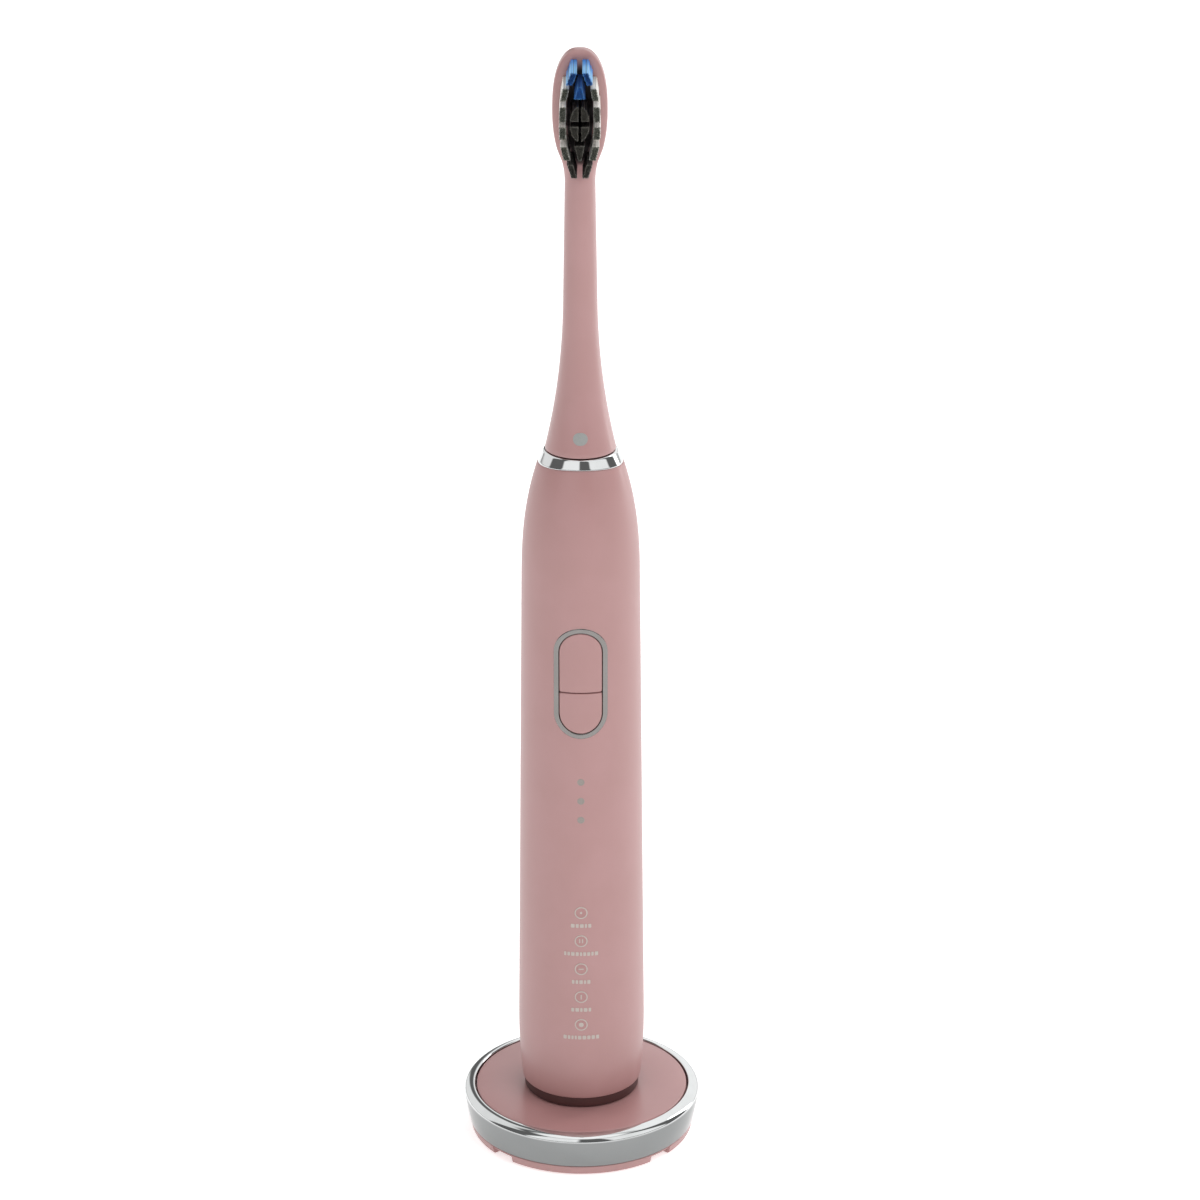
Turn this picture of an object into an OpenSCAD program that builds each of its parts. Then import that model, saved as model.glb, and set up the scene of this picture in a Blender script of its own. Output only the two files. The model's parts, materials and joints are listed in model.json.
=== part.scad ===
// Electric toothbrush standing on its round induction charger.
// Millimetres, +Z up, origin at the middle of the charger's underside. The brush's
// front, with its keys and bristles, faces -Y, and the cord inlet faces +Y.

/* [Charger] */
// Height of the top plate's upper face above the table
charger_h = 10.5; // [9.5:0.5:16]
// Diameter of the lower rim where it meets the table
rim_d = 50.4; // [48:0.2:60]
// Diameter of the trim ring at its widest
trim_d = 53.8; // [53:0.2:70]
// Height of the lower rim that shows below the trim ring
rim_h = 2.4; // [2:0.1:3.5]
// Width of each notch in the rim
notch_w = 5.9; // [3:0.1:9]
// Height of each notch
notch_h = 1.2; // [0.5:0.1:1.8]
// Wall thickness of the charger's mouldings
charger_wall = 1.2; // [1:0.1:2]
// Thickness of the top plate
plate_t = 1.6; // [1.2:0.1:2.5]
// Diameter of the peg that the handle stands over
peg_d = 8.8; // [8:0.2:11]
// Height of the peg above the top plate
peg_h = 7; // [4:0.5:10]
// Diameter of the rubber feet
foot_d = 8; // [6:0.5:10]
// Thickness of the rubber feet
foot_t = 1.5; // [1.3:0.1:2]
// Distance of the feet and screws from the middle
foot_r = 16.8; // [15:0.1:17.5]
// Diameter of the cord that the gland takes
cord_d = 3.4; // [2.8:0.1:3.6]

/* [Handle] */
// Height of the shell, from the dark band to the neck ring
shell_h = 149.3; // [145:0.1:190]
// Diameter of the shell at its widest, near the foot
wide_d = 28.4; // [27.6:0.1:36]
// Diameter of the shell where its shoulder begins
high_d = 25.9; // [25.4:0.1:34]
// Diameter of the shell at its lower edge
low_d = 26.8; // [25.8:0.1:33]
// Diameter of the shell at its upper edge
top_d = 18.5; // [18:0.1:24]
// Height over which the foot of the shell curves in
foot_curve_h = 16; // [8:1:24]
// Height of the shoulder below the neck ring
shoulder_h = 26; // [20:1:36]
// Wall thickness of the shell
shell_wall = 1.6; // [1.2:0.1:2]
// Height of the dark band under the shell
band_h = 2.4; // [1.6:0.1:4]
// Depth of the cap's plug inside the shell
plug_h = 5; // [4:0.5:8]
// Height of the neck ring
neck_ring_h = 2.6; // [1.6:0.1:4]
// Diameter of the neck ring at its upper edge
neck_ring_d = 16; // [15.4:0.1:18]

/* [Keys and lights] */
// Outer width of the metal bezel round the keys
bezel_w = 11.8; // [10:0.1:13]
// Outer height of the bezel
bezel_h = 26; // [22:0.5:32]
// Width of the bezel's metal band
bezel_band = 1.15; // [0.8:0.05:1.6]
// Distance from the shell's upper edge down to the bezel
bezel_drop = 34.3; // [32:0.1:40]
// Height of the mode key, measured from the bezel's window to the split
mode_key_h = 9.65; // [8:0.05:11]
// How far a key travels
key_travel = 0.4; // [0.2:0.05:0.5]
// Diameter of a charge light
charge_light_d = 1.65; // [1.2:0.05:2]
// Distance between charge lights
charge_light_pitch = 4.55; // [3:0.05:5]
// Distance from the bezel down to the first charge light
charge_light_drop = 10.35; // [8:0.05:14]
// Diameter of a mode light
mode_light_d = 3.1; // [2.4:0.05:3.6]
// Distance between mode lights
mode_light_pitch = 6.94; // [5:0.01:7]
// Height of the lowest mode light above the shell's lower edge
mode_light_z = 19.2; // [19:0.1:26]
// Number of mode lights
mode_light_count = 5; // [3:1:5]

/* [Drive] */
// Diameter of the drive shaft
shaft_d = 3.8; // [3:0.1:4.2]
// Length of shaft that stands above the neck ring
shaft_reach = 19.4; // [14:0.1:22]
// Outer diameter of the motor
motor_d = 13.6; // [12.8:0.1:14]
// Length of the motor
motor_len = 44; // [36:1:46]
// Distance from the shell's upper edge down to the motor
motor_drop = 13; // [12:0.5:16]
// Diameter of the battery cell
cell_d = 14; // [12:0.1:14.2]
// Length of the battery cell
cell_len = 50; // [40:1:52]

/* [Brush head] */
// Length of the brush head, from its lower edge to its tip
head_len = 88.55; // [84:0.05:110]
// Diameter of the neck at its lower edge
neck_d = 15.5; // [14.5:0.1:17]
// Diameter of the thinnest part of the stem
stem_d = 6.4; // [5.6:0.1:8]
// Height over which the neck flares out to its lower edge
flare_h = 33; // [24:1:40]
// Width of the oval head
oval_w = 11.7; // [11:0.1:14]
// Height of the oval head
oval_h = 26.3; // [25.8:0.1:34]
// Thickness of the head
head_t = 4.4; // [4:0.1:6]
// Length of the bristles
bristle_len = 10; // [7:0.5:12]
// Extra length of the tall bristles at the tip
tall_extra = 1; // [0:0.1:2]

/* [Fits] */
// Gap all round a moving key
key_gap = 0.12; // [0.08:0.01:0.2]
// Gap between a shaft and what it turns in, on the radius
running_gap = 0.05; // [0.02:0.01:0.1]
// Gap between the peg and the recess over it, on the radius
peg_gap = 0.35; // [0.2:0.05:0.6]
// Gap between assembled pieces that don't move
seat_gap = 0.05; // [0.02:0.01:0.1]
// Groove that shows between the top plate and the trim ring
groove = 0.3; // [0.2:0.05:0.6]
// Gap between the handle and the charger, and between the brush head and the neck ring
lift_gap = 0.2; // [0.1:0.05:0.3]

/* [Hidden] */
$fn = 96;

// Colours
pink = [0.74, 0.60, 0.575];
dark_rose = [0.29, 0.17, 0.16];
chrome = [0.80, 0.81, 0.81];
satin = [0.64, 0.64, 0.61];
copper = [0.72, 0.42, 0.24];
board_green = [0.12, 0.33, 0.22];
rubber_black = [0.10, 0.10, 0.10];
steel = [0.62, 0.63, 0.65];
white = [0.90, 0.89, 0.86];
tip_grey = [0.28, 0.27, 0.26];
brush_blue = [0.35, 0.60, 0.88];

// Heights, from the table up
foot_clear = 0.3;
trim_gap = 0.1;
plate_z = charger_h;
floor_z = 1.2;
floor_t = 1.4;
floor_top = floor_z + floor_t;
trim_z = rim_h + trim_gap;
cap_z = plate_z + lift_gap;
shell_z = cap_z + band_h;
shell_top = shell_z + shell_h;
ring_top = shell_top + neck_ring_h;
neck_z = ring_top + lift_gap;
head_top = neck_z + head_len;
oval_z = head_top - oval_h / 2;
shaft_top = ring_top + shaft_reach;
motor_top = shell_top - motor_drop;
motor_z = motor_top - motor_len;
bezel_top = shell_top - bezel_drop;
bezel_z = bezel_top - bezel_h;
mode_key_z = bezel_z + bezel_band;
split_z = mode_key_z + mode_key_h;
charge_z = bezel_z - charge_light_drop;
cell_lift = 15;
cell_z = shell_z + cell_lift;
cell_top = cell_z + cell_len;

// ---------------------------------------------------------------- shell's outline

wide_z = shell_z + foot_curve_h;
shoulder_z = shell_top - shoulder_h;
side_slope = (high_d - wide_d) / 2 / (shoulder_z - wide_z);
foot_power = 2.2;
shoulder_power = 2.4;

// Radius of the handle at height z: a power curve in at the foot, a straight taper,
// and a power curve in at the shoulder.
function foot_r_at(z) =
    (wide_d - (wide_d - low_d) * pow((wide_z - z) / foot_curve_h, foot_power)) / 2;
function taper_r_at(z) = wide_d / 2 + side_slope * (z - wide_z);
function shoulder_drop() = taper_r_at(shell_top) - top_d / 2;
function shell_r(z) =
    z < wide_z ? foot_r_at(z)
    : z < shoulder_z ? taper_r_at(z)
    : taper_r_at(z) - shoulder_drop() * pow((z - shoulder_z) / shoulder_h, shoulder_power);

foot_steps = 6;
shoulder_steps = 12;
shell_heights = concat(
    [for (i = [0 : foot_steps]) shell_z + foot_curve_h * i / foot_steps],
    [for (i = [0 : shoulder_steps]) shoulder_z + shoulder_h * i / shoulder_steps]);

// The handle's outside as a solid of revolution, grown or shrunk by grow
module shell_solid(grow = 0) {
    outline = [for (z = shell_heights) [shell_r(z) + grow, z]];
    rotate_extrude()
        polygon(concat([[0, shell_z]], outline, [[0, shell_top]]));
}

// A skin that lies between two depths below the handle's outside
module shell_skin(outer, inner) {
    difference() {
        shell_solid(-outer);
        shell_solid(-inner);
    }
}

// ---------------------------------------------------------------- general shapes

// A tube that stands on z
module tube(r_out, r_in, z, h) {
    translate([0, 0, z])
        difference() {
            cylinder(r = r_out, h = h);
            translate([0, 0, -1]) cylinder(r = r_in, h = h + 2);
        }
}

// A disc that stands on z
module disc(r, z, h) {
    translate([0, 0, z]) cylinder(r = r, h = h);
}

// A block centred on x, from y0 to y1 and from z0 to z1
module block(w, y0, y1, z0, z1) {
    translate([-w / 2, y0, z0]) cube([w, y1 - y0, z1 - z0]);
}

// A flat outline in x and z, raised towards the front from y_back to y_front
module raise_to_front(y_back, y_front) {
    translate([0, y_back, 0])
        rotate([90, 0, 0]) linear_extrude(height = y_back - y_front) children();
}

// A slot outline with round ends, from z0 to z1
module slot_outline(w, z0, z1) {
    translate([0, z0 + w / 2]) circle(d = w);
    translate([0, z1 - w / 2]) circle(d = w);
    translate([-w / 2, z0 + w / 2]) square([w, z1 - z0 - w]);
}

// A short rod from the middle out to the front, at height z
module front_rod(r, z, y_back) {
    raise_to_front(y_back, -trim_d / 2) translate([0, z]) circle(r = r);
}

// A copy of the children at each of the charger's screw places
module at_screws() {
    for (a = [0 : 90 : 270])
        rotate([0, 0, a]) translate([foot_r, 0, 0]) children();
}

// ---------------------------------------------------------------- charger

rim_r = rim_d / 2;
rim_w = 3.4;
rim_edge = 0.3;
trim_r = trim_d / 2;
trim_taper = 1.2;
trim_low_r = trim_r - trim_taper;
trim_lip_w = 2.9;
plate_r = trim_r - trim_lip_w;
trim_in_r = plate_r + groove;
wall_out_r = trim_in_r - seat_gap;
wall_in_r = wall_out_r - charger_wall;
plate_low = plate_z - plate_t;
wall_top = plate_low - 0.3;
trim_edge_drop = 0.3;
trim_proud = 0.1;
trim_round_w = trim_lip_w - 0.5;
trim_round_h = 1.5;
screw_r = 1.1;
screw_head_r = 2;
screw_head_h = 0.9;
post_r = 3.4;
post_top = floor_top + 1.2;
boss_r = 2.3;
gland_z = (trim_z + wall_top) / 2 + 0.1;
gland_wall = 0.7;
gland_r = cord_d / 2 + gland_wall;
gland_flange_r = gland_r + 0.5;
gland_flange_t = 0.9;
board_out_r = wall_in_r - 2.2;
board_in_r = 10.6;
charger_board_z = floor_top + 1.3;
charger_board_t = 1;
peg_r = peg_d / 2;
peg_top = plate_z + peg_h;
peg_wall = 1.3;
peg_edge = 1;
core_r = peg_r - peg_wall;

module charger_base() {
    color(pink)
    difference() {
        union() {
            rotate_extrude()
                polygon([[rim_r - rim_w, foot_clear], [rim_r - rim_edge, foot_clear],
                    [rim_r, foot_clear + rim_edge], [trim_low_r - trim_gap, rim_h],
                    [wall_out_r, rim_h], [wall_out_r, wall_top], [wall_in_r, wall_top],
                    [wall_in_r, floor_top], [0, floor_top], [0, floor_z],
                    [rim_r - rim_w, floor_z]]);
            at_screws() disc(post_r, floor_z, post_top - floor_z);
        }
        for (a = [45 : 90 : 315])
            rotate([0, 0, a])
                translate([rim_r - rim_w - 0.2, -notch_w / 2, 0])
                    cube([trim_r, notch_w, foot_clear + notch_h]);
        at_screws() {
            disc(foot_d / 2 + seat_gap, -1, foot_t + seat_gap + 1);
            disc(screw_head_r + seat_gap, 0, foot_t + screw_head_h + 2 * seat_gap);
            disc(screw_r + seat_gap, 0, post_top + 1);
        }
        gland_hole();
    }
}

module gland_hole() {
    translate([0, wall_in_r - 2, gland_z])
        rotate([-90, 0, 0]) cylinder(r = gland_r + seat_gap, h = trim_r);
}

// Tapered side, wide rounded shoulder and a short slope that dips to the groove
module charger_trim_ring() {
    round_z = plate_z + trim_proud - trim_round_h;
    arc_steps = 8;
    shoulder = [for (i = [0 : arc_steps])
        let (a = 90 * i / arc_steps)
        [trim_r - trim_round_w * (1 - cos(a)), round_z + trim_round_h * sin(a)]];
    color(chrome)
    difference() {
        rotate_extrude()
            polygon(concat([[trim_in_r, trim_z], [trim_low_r, trim_z]], shoulder,
                [[trim_in_r, plate_z - trim_edge_drop]]));
        gland_hole();
    }
}

module charger_top_plate() {
    skirt_out = wall_in_r - seat_gap;
    skirt_t = 1;
    skirt_h = 2.4;
    edge = 0.4;
    overlap = 0.1;
    color(pink)
    difference() {
        union() {
            rotate_extrude()
                polygon([[0, plate_low], [plate_r, plate_low], [plate_r, plate_z - edge],
                    [plate_r - edge, plate_z], [0, plate_z]]);
            tube(skirt_out, skirt_out - skirt_t, plate_low - skirt_h, skirt_h + overlap);
            rotate_extrude()
                polygon([[0, plate_z - overlap], [peg_r, plate_z - overlap],
                    [peg_r, peg_top - peg_edge], [peg_r - peg_edge, peg_top], [0, peg_top]]);
            at_screws() disc(boss_r, post_top + seat_gap, plate_low - post_top + overlap);
        }
        disc(core_r + seat_gap, plate_low - 1, peg_h + plate_t);
        at_screws() disc(screw_r + seat_gap, 0, plate_low - 0.3);
        translate([0, wall_in_r - 1, gland_z])
            rotate([-90, 0, 0]) cylinder(r = gland_flange_r + 0.3, h = 4, center = true);
    }
}

bobbin_z = floor_top + seat_gap;
bobbin_top = plate_low - 0.4;
bobbin_r = 9.8;
bobbin_hub_r = core_r + 1;
bobbin_flange_t = 0.8;

module charger_bobbin() {
    color(white)
    difference() {
        union() {
            disc(bobbin_r, bobbin_z, bobbin_flange_t);
            disc(bobbin_hub_r, bobbin_z, bobbin_top - bobbin_z);
            disc(bobbin_r, bobbin_top - bobbin_flange_t, bobbin_flange_t);
        }
        disc(core_r + seat_gap, 0, plate_z);
    }
}

module charger_coil() {
    color(copper)
        tube(bobbin_r - 0.3, bobbin_hub_r + seat_gap, bobbin_z + bobbin_flange_t + seat_gap,
            bobbin_top - bobbin_z - 2 * (bobbin_flange_t + seat_gap));
}

module charger_ferrite_core() {
    color([0.2, 0.2, 0.21])
        disc(core_r, bobbin_z, peg_top - peg_wall + 0.1 - bobbin_z);
}

module charger_board() {
    color(board_green)
    difference() {
        tube(board_out_r, board_in_r, charger_board_z, charger_board_t);
        at_screws() disc(post_r + 0.3, 0, plate_z);
    }
}

// Capacitors, a coil and chips that stand on the board, clear of the bosses
module charger_components() {
    z = charger_board_z + charger_board_t + seat_gap;
    room = plate_low - z - 0.4;
    color([0.15, 0.15, 0.18])
    for (a = [38, 62, 128, 152, 222, 308])
        rotate([0, 0, a]) translate([(board_in_r + board_out_r) / 2, 0, z])
            if (a < 130) cylinder(d = 3.6, h = room);
            else translate([-1.6, -1.6, 0]) cube([3.2, 3.2, room / 2]);
}

module charger_screws() {
    color(steel)
    at_screws() {
        disc(screw_head_r, foot_t + seat_gap, screw_head_h);
        disc(screw_r, foot_t + seat_gap, plate_low - foot_t - 1);
    }
}

module charger_feet() {
    color(rubber_black)
    at_screws() disc(foot_d / 2, 0, foot_t);
}

// Rubber bush in the charger's back wall, with a flange inside
module cord_gland() {
    gland_start = wall_in_r - 1.3;
    color(rubber_black)
    translate([0, 0, gland_z]) rotate([-90, 0, 0])
        difference() {
            union() {
                cylinder(r = gland_r, h = trim_r - 0.6);
                translate([0, 0, gland_start]) cylinder(r = gland_flange_r, h = gland_flange_t);
            }
            cylinder(d = cord_d, h = 2 * trim_r, center = true);
            cylinder(r = gland_flange_r + 1, h = 2 * gland_start, center = true);
        }
}

// ---------------------------------------------------------------- handle

mouth_wall = 1.3;
mouth_r = low_d / 2 - mouth_wall;
mouth_h = plug_h + 2;
band_step = 0.45;
neck_bore_r = 6;
neck_flange_t = 4.2;
rebate_r = 7.6;
rebate_h = 1.5;
lens_gap = 0.02;
bezel_in_w = bezel_w - 2 * bezel_band;
throat_step = 0.6;
bezel_throat_w = bezel_in_w + 2 * throat_step;
bezel_depth = 0.6;
bezel_proud = 0.1;

charge_light_heights = [for (i = [0 : 2]) charge_z - i * charge_light_pitch];
mode_light_heights = [for (i = [0 : mode_light_count - 1])
    shell_z + mode_light_z + i * mode_light_pitch];

module handle_shell() {
    color(pink)
    difference() {
        shell_solid();
        // Room inside, with a thicker ring at the mouth and a flange at the neck
        intersection() {
            shell_solid(-shell_wall);
            disc(trim_d, shell_z + mouth_h, shell_h - mouth_h - neck_flange_t);
        }
        disc(mouth_r, shell_z - 1, mouth_h + 2);
        disc(neck_bore_r, shell_top - neck_flange_t - 1, neck_flange_t + 2);
        disc(rebate_r + seat_gap, shell_top - rebate_h - seat_gap, rebate_h + 1);
        // Seat and window for the bezel
        difference() {
            raise_to_front(0, -trim_r)
                slot_outline(bezel_w + 2 * seat_gap, bezel_z - seat_gap, bezel_top + seat_gap);
            shell_solid(-bezel_depth - seat_gap);
        }
        raise_to_front(0, -trim_r)
            slot_outline(bezel_throat_w + 2 * seat_gap, throat_z - seat_gap,
                throat_top + seat_gap);
        for (z = charge_light_heights) front_rod(charge_light_d / 2 + lens_gap, z, 0);
        for (z = mode_light_heights) front_rod(mode_light_d / 2 + lens_gap, z, 0);
    }
}

recess_r = peg_r + peg_gap;
recess_top = peg_top + 1;
recess_wall = 1.2;
plug_r = mouth_r - seat_gap;
plug_wall = 2;
seal_r = 0.6;
seal_gap = 0.02;
seal_z = shell_z + plug_h - 1.8;
cap_floor = 1.4;

module bottom_cap() {
    color(dark_rose)
    difference() {
        union() {
            disc(low_d / 2 - band_step, cap_z, band_h - seat_gap);
            disc(plug_r, cap_z, band_h + plug_h);
            disc(recess_r + recess_wall, cap_z, recess_top + recess_wall - cap_z);
        }
        disc(recess_r, cap_z - 1, recess_top - cap_z + 1);
        tube(plug_r - plug_wall, recess_r + recess_wall, cap_z + cap_floor, band_h + plug_h);
        // Groove for the seal
        tube(plug_r + 1, mouth_r - 2 * seal_r - seal_gap, seal_z - seal_r, 2 * seal_r);
    }
}

module cap_seal() {
    color(rubber_black)
    rotate_extrude()
        translate([mouth_r - seal_r, seal_z]) circle(r = seal_r - seal_gap, $fn = 32);
}

receiver_z = cap_z + cap_floor + seat_gap;
receiver_h = 6;
receiver_hub_r = recess_r + recess_wall + seat_gap;
receiver_r = plug_r - plug_wall - 0.25;
receiver_wall = 0.7;

module receiver_bobbin() {
    color(white)
    difference() {
        union() {
            disc(receiver_r, receiver_z, receiver_wall);
            disc(receiver_hub_r + receiver_wall, receiver_z, receiver_h);
            disc(receiver_r, receiver_z + receiver_h - receiver_wall, receiver_wall);
        }
        disc(receiver_hub_r, 0, shell_top);
    }
}

module receiver_coil() {
    color(copper)
        tube(receiver_r - 0.2, receiver_hub_r + receiver_wall + seat_gap,
            receiver_z + receiver_wall + seat_gap,
            receiver_h - 2 * (receiver_wall + seat_gap));
}

// Stack behind the keys, from the wall to the board
key_r = shell_r(split_z);
membrane_t = 0.5;
membrane_gap = 0.1;
nub_h = 0.7;
switch_w = 3.4;
switch_h = 1.5;
board_t = 1;
led_w = 1.2;
led_h = 0.6;
solder_gap = 0.02;
board_w = 12;
membrane_r = key_r - shell_wall - membrane_gap - membrane_t;
board_y = -(membrane_r - nub_h - switch_h);
board_back = board_y + board_t;
board_z = shell_z + 11.5;
board_top = bezel_top + 2;
power_z = (split_z + bezel_top - bezel_band) / 2;
mode_z = (mode_key_z + split_z) / 2;

// Chassis that holds cell, motor and board
frame_r = high_d / 2 - shell_wall - 0.5;
frame_t = 1.2;
frame_lift = 12.5;
frame_z = shell_z + frame_lift;
frame_top = shoulder_z + 6;
screw_bite = 3;
screw_hole_r = 0.8;
screw_cap_r = 1.5;
screw_cap_t = 0.8;
cell_gap = 0.15;
cell_y = frame_r - frame_t - cell_d / 2 - 2 * cell_gap;
rib_t = 2;
rib_gap = 0.6;
// The rib with the upper screw stays below the motor and below the mode key's switch
screw_reach = switch_w / 2 + screw_cap_r + rib_gap;
upper_screw_z = min(motor_z - rib_gap - rib_t / 2, mode_z - screw_reach);
ribs = [frame_z, cell_top + rib_gap, upper_screw_z - rib_t / 2, motor_z + motor_len / 3];
screw_heights = [frame_z + rib_t / 2, upper_screw_z];

module inner_frame() {
    color(white)
    difference() {
        union() {
            intersection() {
                tube(frame_r, frame_r - frame_t, frame_z, frame_top - frame_z);
                translate([-frame_r, 2, 0]) cube([2 * frame_r, frame_r, shell_top]);
            }
            for (z = ribs)
                intersection() {
                    disc(frame_r, z, rib_t);
                    translate([-frame_r, board_back + seat_gap, 0])
                        cube([2 * frame_r, 2 * frame_r, shell_top]);
                }
        }
        translate([0, cell_y, cell_z - 2 * cell_gap])
            cylinder(r = cell_d / 2 + cell_gap, h = cell_len + 4 * cell_gap);
        disc(motor_r + damper_t + 2 * seat_gap, motor_z - rib_gap / 2, shell_top);
        screw_holes(board_back + screw_bite + 0.1);
    }
}

// Holes for the board's screws, from the front back to y
module screw_holes(y) {
    for (z = screw_heights)
        raise_to_front(y, board_y - 1) translate([0, z]) circle(r = screw_hole_r + seat_gap);
}

// Screws through the board into two of the frame's ribs
module frame_screws() {
    color(steel)
    for (z = screw_heights) {
        raise_to_front(board_y, board_y - screw_cap_t) translate([0, z]) circle(r = screw_cap_r);
        raise_to_front(board_back + screw_bite, board_y - 0.1)
            translate([0, z]) circle(r = screw_hole_r);
    }
}

module battery_cell() {
    color([0.20, 0.42, 0.30])
    translate([0, cell_y, 0]) {
        disc(cell_d / 2, cell_z, cell_len - 1);
        disc(cell_d / 5, cell_z + cell_len - 1.1, 1.1);
    }
}

// Nickel strips on the cell's two ends
module battery_tabs() {
    color(satin)
    for (z = [cell_z - 0.25, cell_top + 0.05])
        block(4, board_back + 0.4, cell_y + 2, z, z + 0.2);
}

module main_board() {
    color(board_green)
    difference() {
        block(board_w, board_y, board_back, board_z, board_top);
        screw_holes(0);
    }
}

// A box of width w, height h and thickness t on the board's front
module chip(x, z, w, h, t) {
    translate([x, board_y - solder_gap - t, z]) cube([w, t, h]);
}

// Control chip, charging chip and a choke on the board's front
module board_chips() {
    z0 = mode_light_heights[mode_light_count - 1] + 4;
    color([0.12, 0.12, 0.13]) {
        chip(0.5, z0, 4.6, 4.6, 1);
        chip(-4.6, z0 + 1, 3.4, 2.8, 0.9);
        chip(-4.6, z0 - 9, 2, 3, 0.8);
    }
}

// Push switch with a round plunger, on the board behind a key
module push_switch(z) {
    color(satin) {
        block(switch_w, board_y - switch_h + key_travel, board_y - solder_gap,
            z - switch_w / 2, z + switch_w / 2);
        raise_to_front(board_y - switch_h / 2, board_y - switch_h + seat_gap)
            translate([0, z]) circle(r = 0.9);
    }
}

module power_switch() { push_switch(power_z); }
module mode_switch() { push_switch(mode_z); }

module led(z) {
    block(led_w, board_y - led_h, board_y - solder_gap, z - led_w / 2, z + led_w / 2);
}

module battery_leds() {
    color("white")
    for (z = charge_light_heights) led(z);
}

module mode_leds() {
    color("white")
    for (z = mode_light_heights) led(z);
}

// Clear rods that carry light from the board out to the shell's surface
module light_pipes(heights, d) {
    intersection() {
        shell_solid();
        for (z = heights) front_rod(d / 2, z, board_y - led_h - 0.1);
    }
}

module battery_lenses() {
    color([0.59, 0.58, 0.52]) light_pipes(charge_light_heights, charge_light_d);
}

module mode_lenses() {
    color([0.72, 0.66, 0.63]) light_pipes(mode_light_heights, mode_light_d);
}

throat_z = bezel_z + bezel_band - throat_step;
throat_top = bezel_top - bezel_band + throat_step;

// Metal band set into the shell, with a thin lip that lines the window
module button_bezel() {
    color(satin)
    difference() {
        union() {
            intersection() {
                shell_skin(-bezel_proud, bezel_depth);
                raise_to_front(0, -trim_r) slot_outline(bezel_w, bezel_z, bezel_top);
            }
            intersection() {
                shell_skin(bezel_depth - 0.1, shell_wall);
                raise_to_front(0, -trim_r)
                    slot_outline(bezel_throat_w, throat_z, throat_top);
            }
        }
        raise_to_front(0, -trim_r)
            slot_outline(bezel_in_w, bezel_z + bezel_band, bezel_top - bezel_band);
    }
}

// Silicone sheet inside the window, with a nub behind each key
module button_membrane() {
    lap = 1.6;
    color([0.55, 0.42, 0.40]) {
        intersection() {
            shell_skin(shell_wall + membrane_gap, shell_wall + membrane_gap + membrane_t);
            raise_to_front(0, -trim_r)
                slot_outline(bezel_throat_w + lap, throat_z - lap, throat_top + lap);
        }
        for (z = [power_z, mode_z])
            raise_to_front(-membrane_r + nub_h, -membrane_r - 0.1)
                translate([0, z]) circle(r = 1.2);
    }
}

// A key: one end of the window's outline, following the handle's curve
module key(z0, z1) {
    color(pink)
    intersection() {
        shell_skin(-bezel_proud / 2, shell_wall - 0.05);
        raise_to_front(0, -trim_r)
            intersection() {
                slot_outline(bezel_in_w - 2 * key_gap, bezel_z + bezel_band + key_gap,
                    bezel_top - bezel_band - key_gap);
                translate([-bezel_w, z0]) square([2 * bezel_w, z1 - z0]);
            }
    }
}

module power_key() { key(split_z + key_gap, bezel_top); }
module mode_key() { key(bezel_z, split_z - key_gap); }

// ---------------------------------------------------------------- motor and drive

motor_r = motor_d / 2;
can_t = 0.6;
damper_t = 0.6;
bearing_r = 4;
bearing_h = 3;
bearing_gap = 0.02;
bearing_floor = 0.8;
shaft_r = shaft_d / 2;
rotor_z = motor_z + 8;
rotor_h = motor_len - 18;
yoke_r = 3.6;
magnet_r = 4.7;
coil_in_r = magnet_r + 0.35;
can_in_r = motor_r - can_t;
end_cap_t = 4;

module motor_can() {
    color(satin)
    difference() {
        disc(motor_r, motor_z, motor_len - end_cap_t);
        disc(can_in_r, motor_z + bearing_h + 1, motor_len);
        disc(bearing_r + bearing_gap, motor_z + bearing_floor, motor_len);
    }
}

module motor_end_cap() {
    color(white)
    difference() {
        disc(motor_r, motor_top - end_cap_t + bearing_gap, end_cap_t - bearing_gap);
        disc(bearing_r + bearing_gap, motor_top - bearing_h - bearing_gap, bearing_h + 1);
        disc(shaft_r + 0.5, motor_z, motor_len + 1);
    }
}

// Bearings that the shaft swings in
module bearing(z) {
    color(steel) tube(bearing_r, shaft_r + running_gap, z, bearing_h);
}

module rear_bearing() { bearing(motor_z + bearing_floor + seat_gap); }
module front_bearing() { bearing(motor_top - bearing_h); }

// Four windings round the inside of the can
module motor_coil() {
    color(copper)
    difference() {
        tube(can_in_r - 0.05, coil_in_r, rotor_z - 1, rotor_h + 2);
        for (a = [0 : 90 : 270])
            rotate([0, 0, a]) translate([-0.6, 0, rotor_z - 2]) cube([1.2, motor_d, rotor_h + 4]);
    }
}

// Rubber sleeve between motor and frame
module motor_damper() {
    color(rubber_black)
    tube(motor_r + damper_t, motor_r + seat_gap, motor_z + motor_len / 3, 10);
}

flat_y = shaft_r - 0.6;
flat_z = ring_top + 1;

// Steel shaft with a flat on its upper end
module drive_shaft() {
    color(steel)
    difference() {
        union() {
            disc(shaft_r, motor_z + 1, shaft_top - motor_z - 1.5);
            translate([0, 0, shaft_top - 0.5]) cylinder(r1 = shaft_r, r2 = shaft_r - 0.5, h = 0.5);
        }
        translate([-5, flat_y, flat_z]) cube([10, 5, shaft_reach]);
    }
}

module rotor_yoke() {
    color(steel) tube(yoke_r, shaft_r, rotor_z, rotor_h);
}

module rotor_magnets() {
    color([0.45, 0.45, 0.47])
    difference() {
        tube(magnet_r, yoke_r + 0.02, rotor_z + 0.5, rotor_h - 1);
        for (a = [45 : 90 : 315])
            rotate([0, 0, a]) translate([-0.4, 0, rotor_z]) cube([0.8, motor_d, rotor_h]);
    }
}

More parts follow.
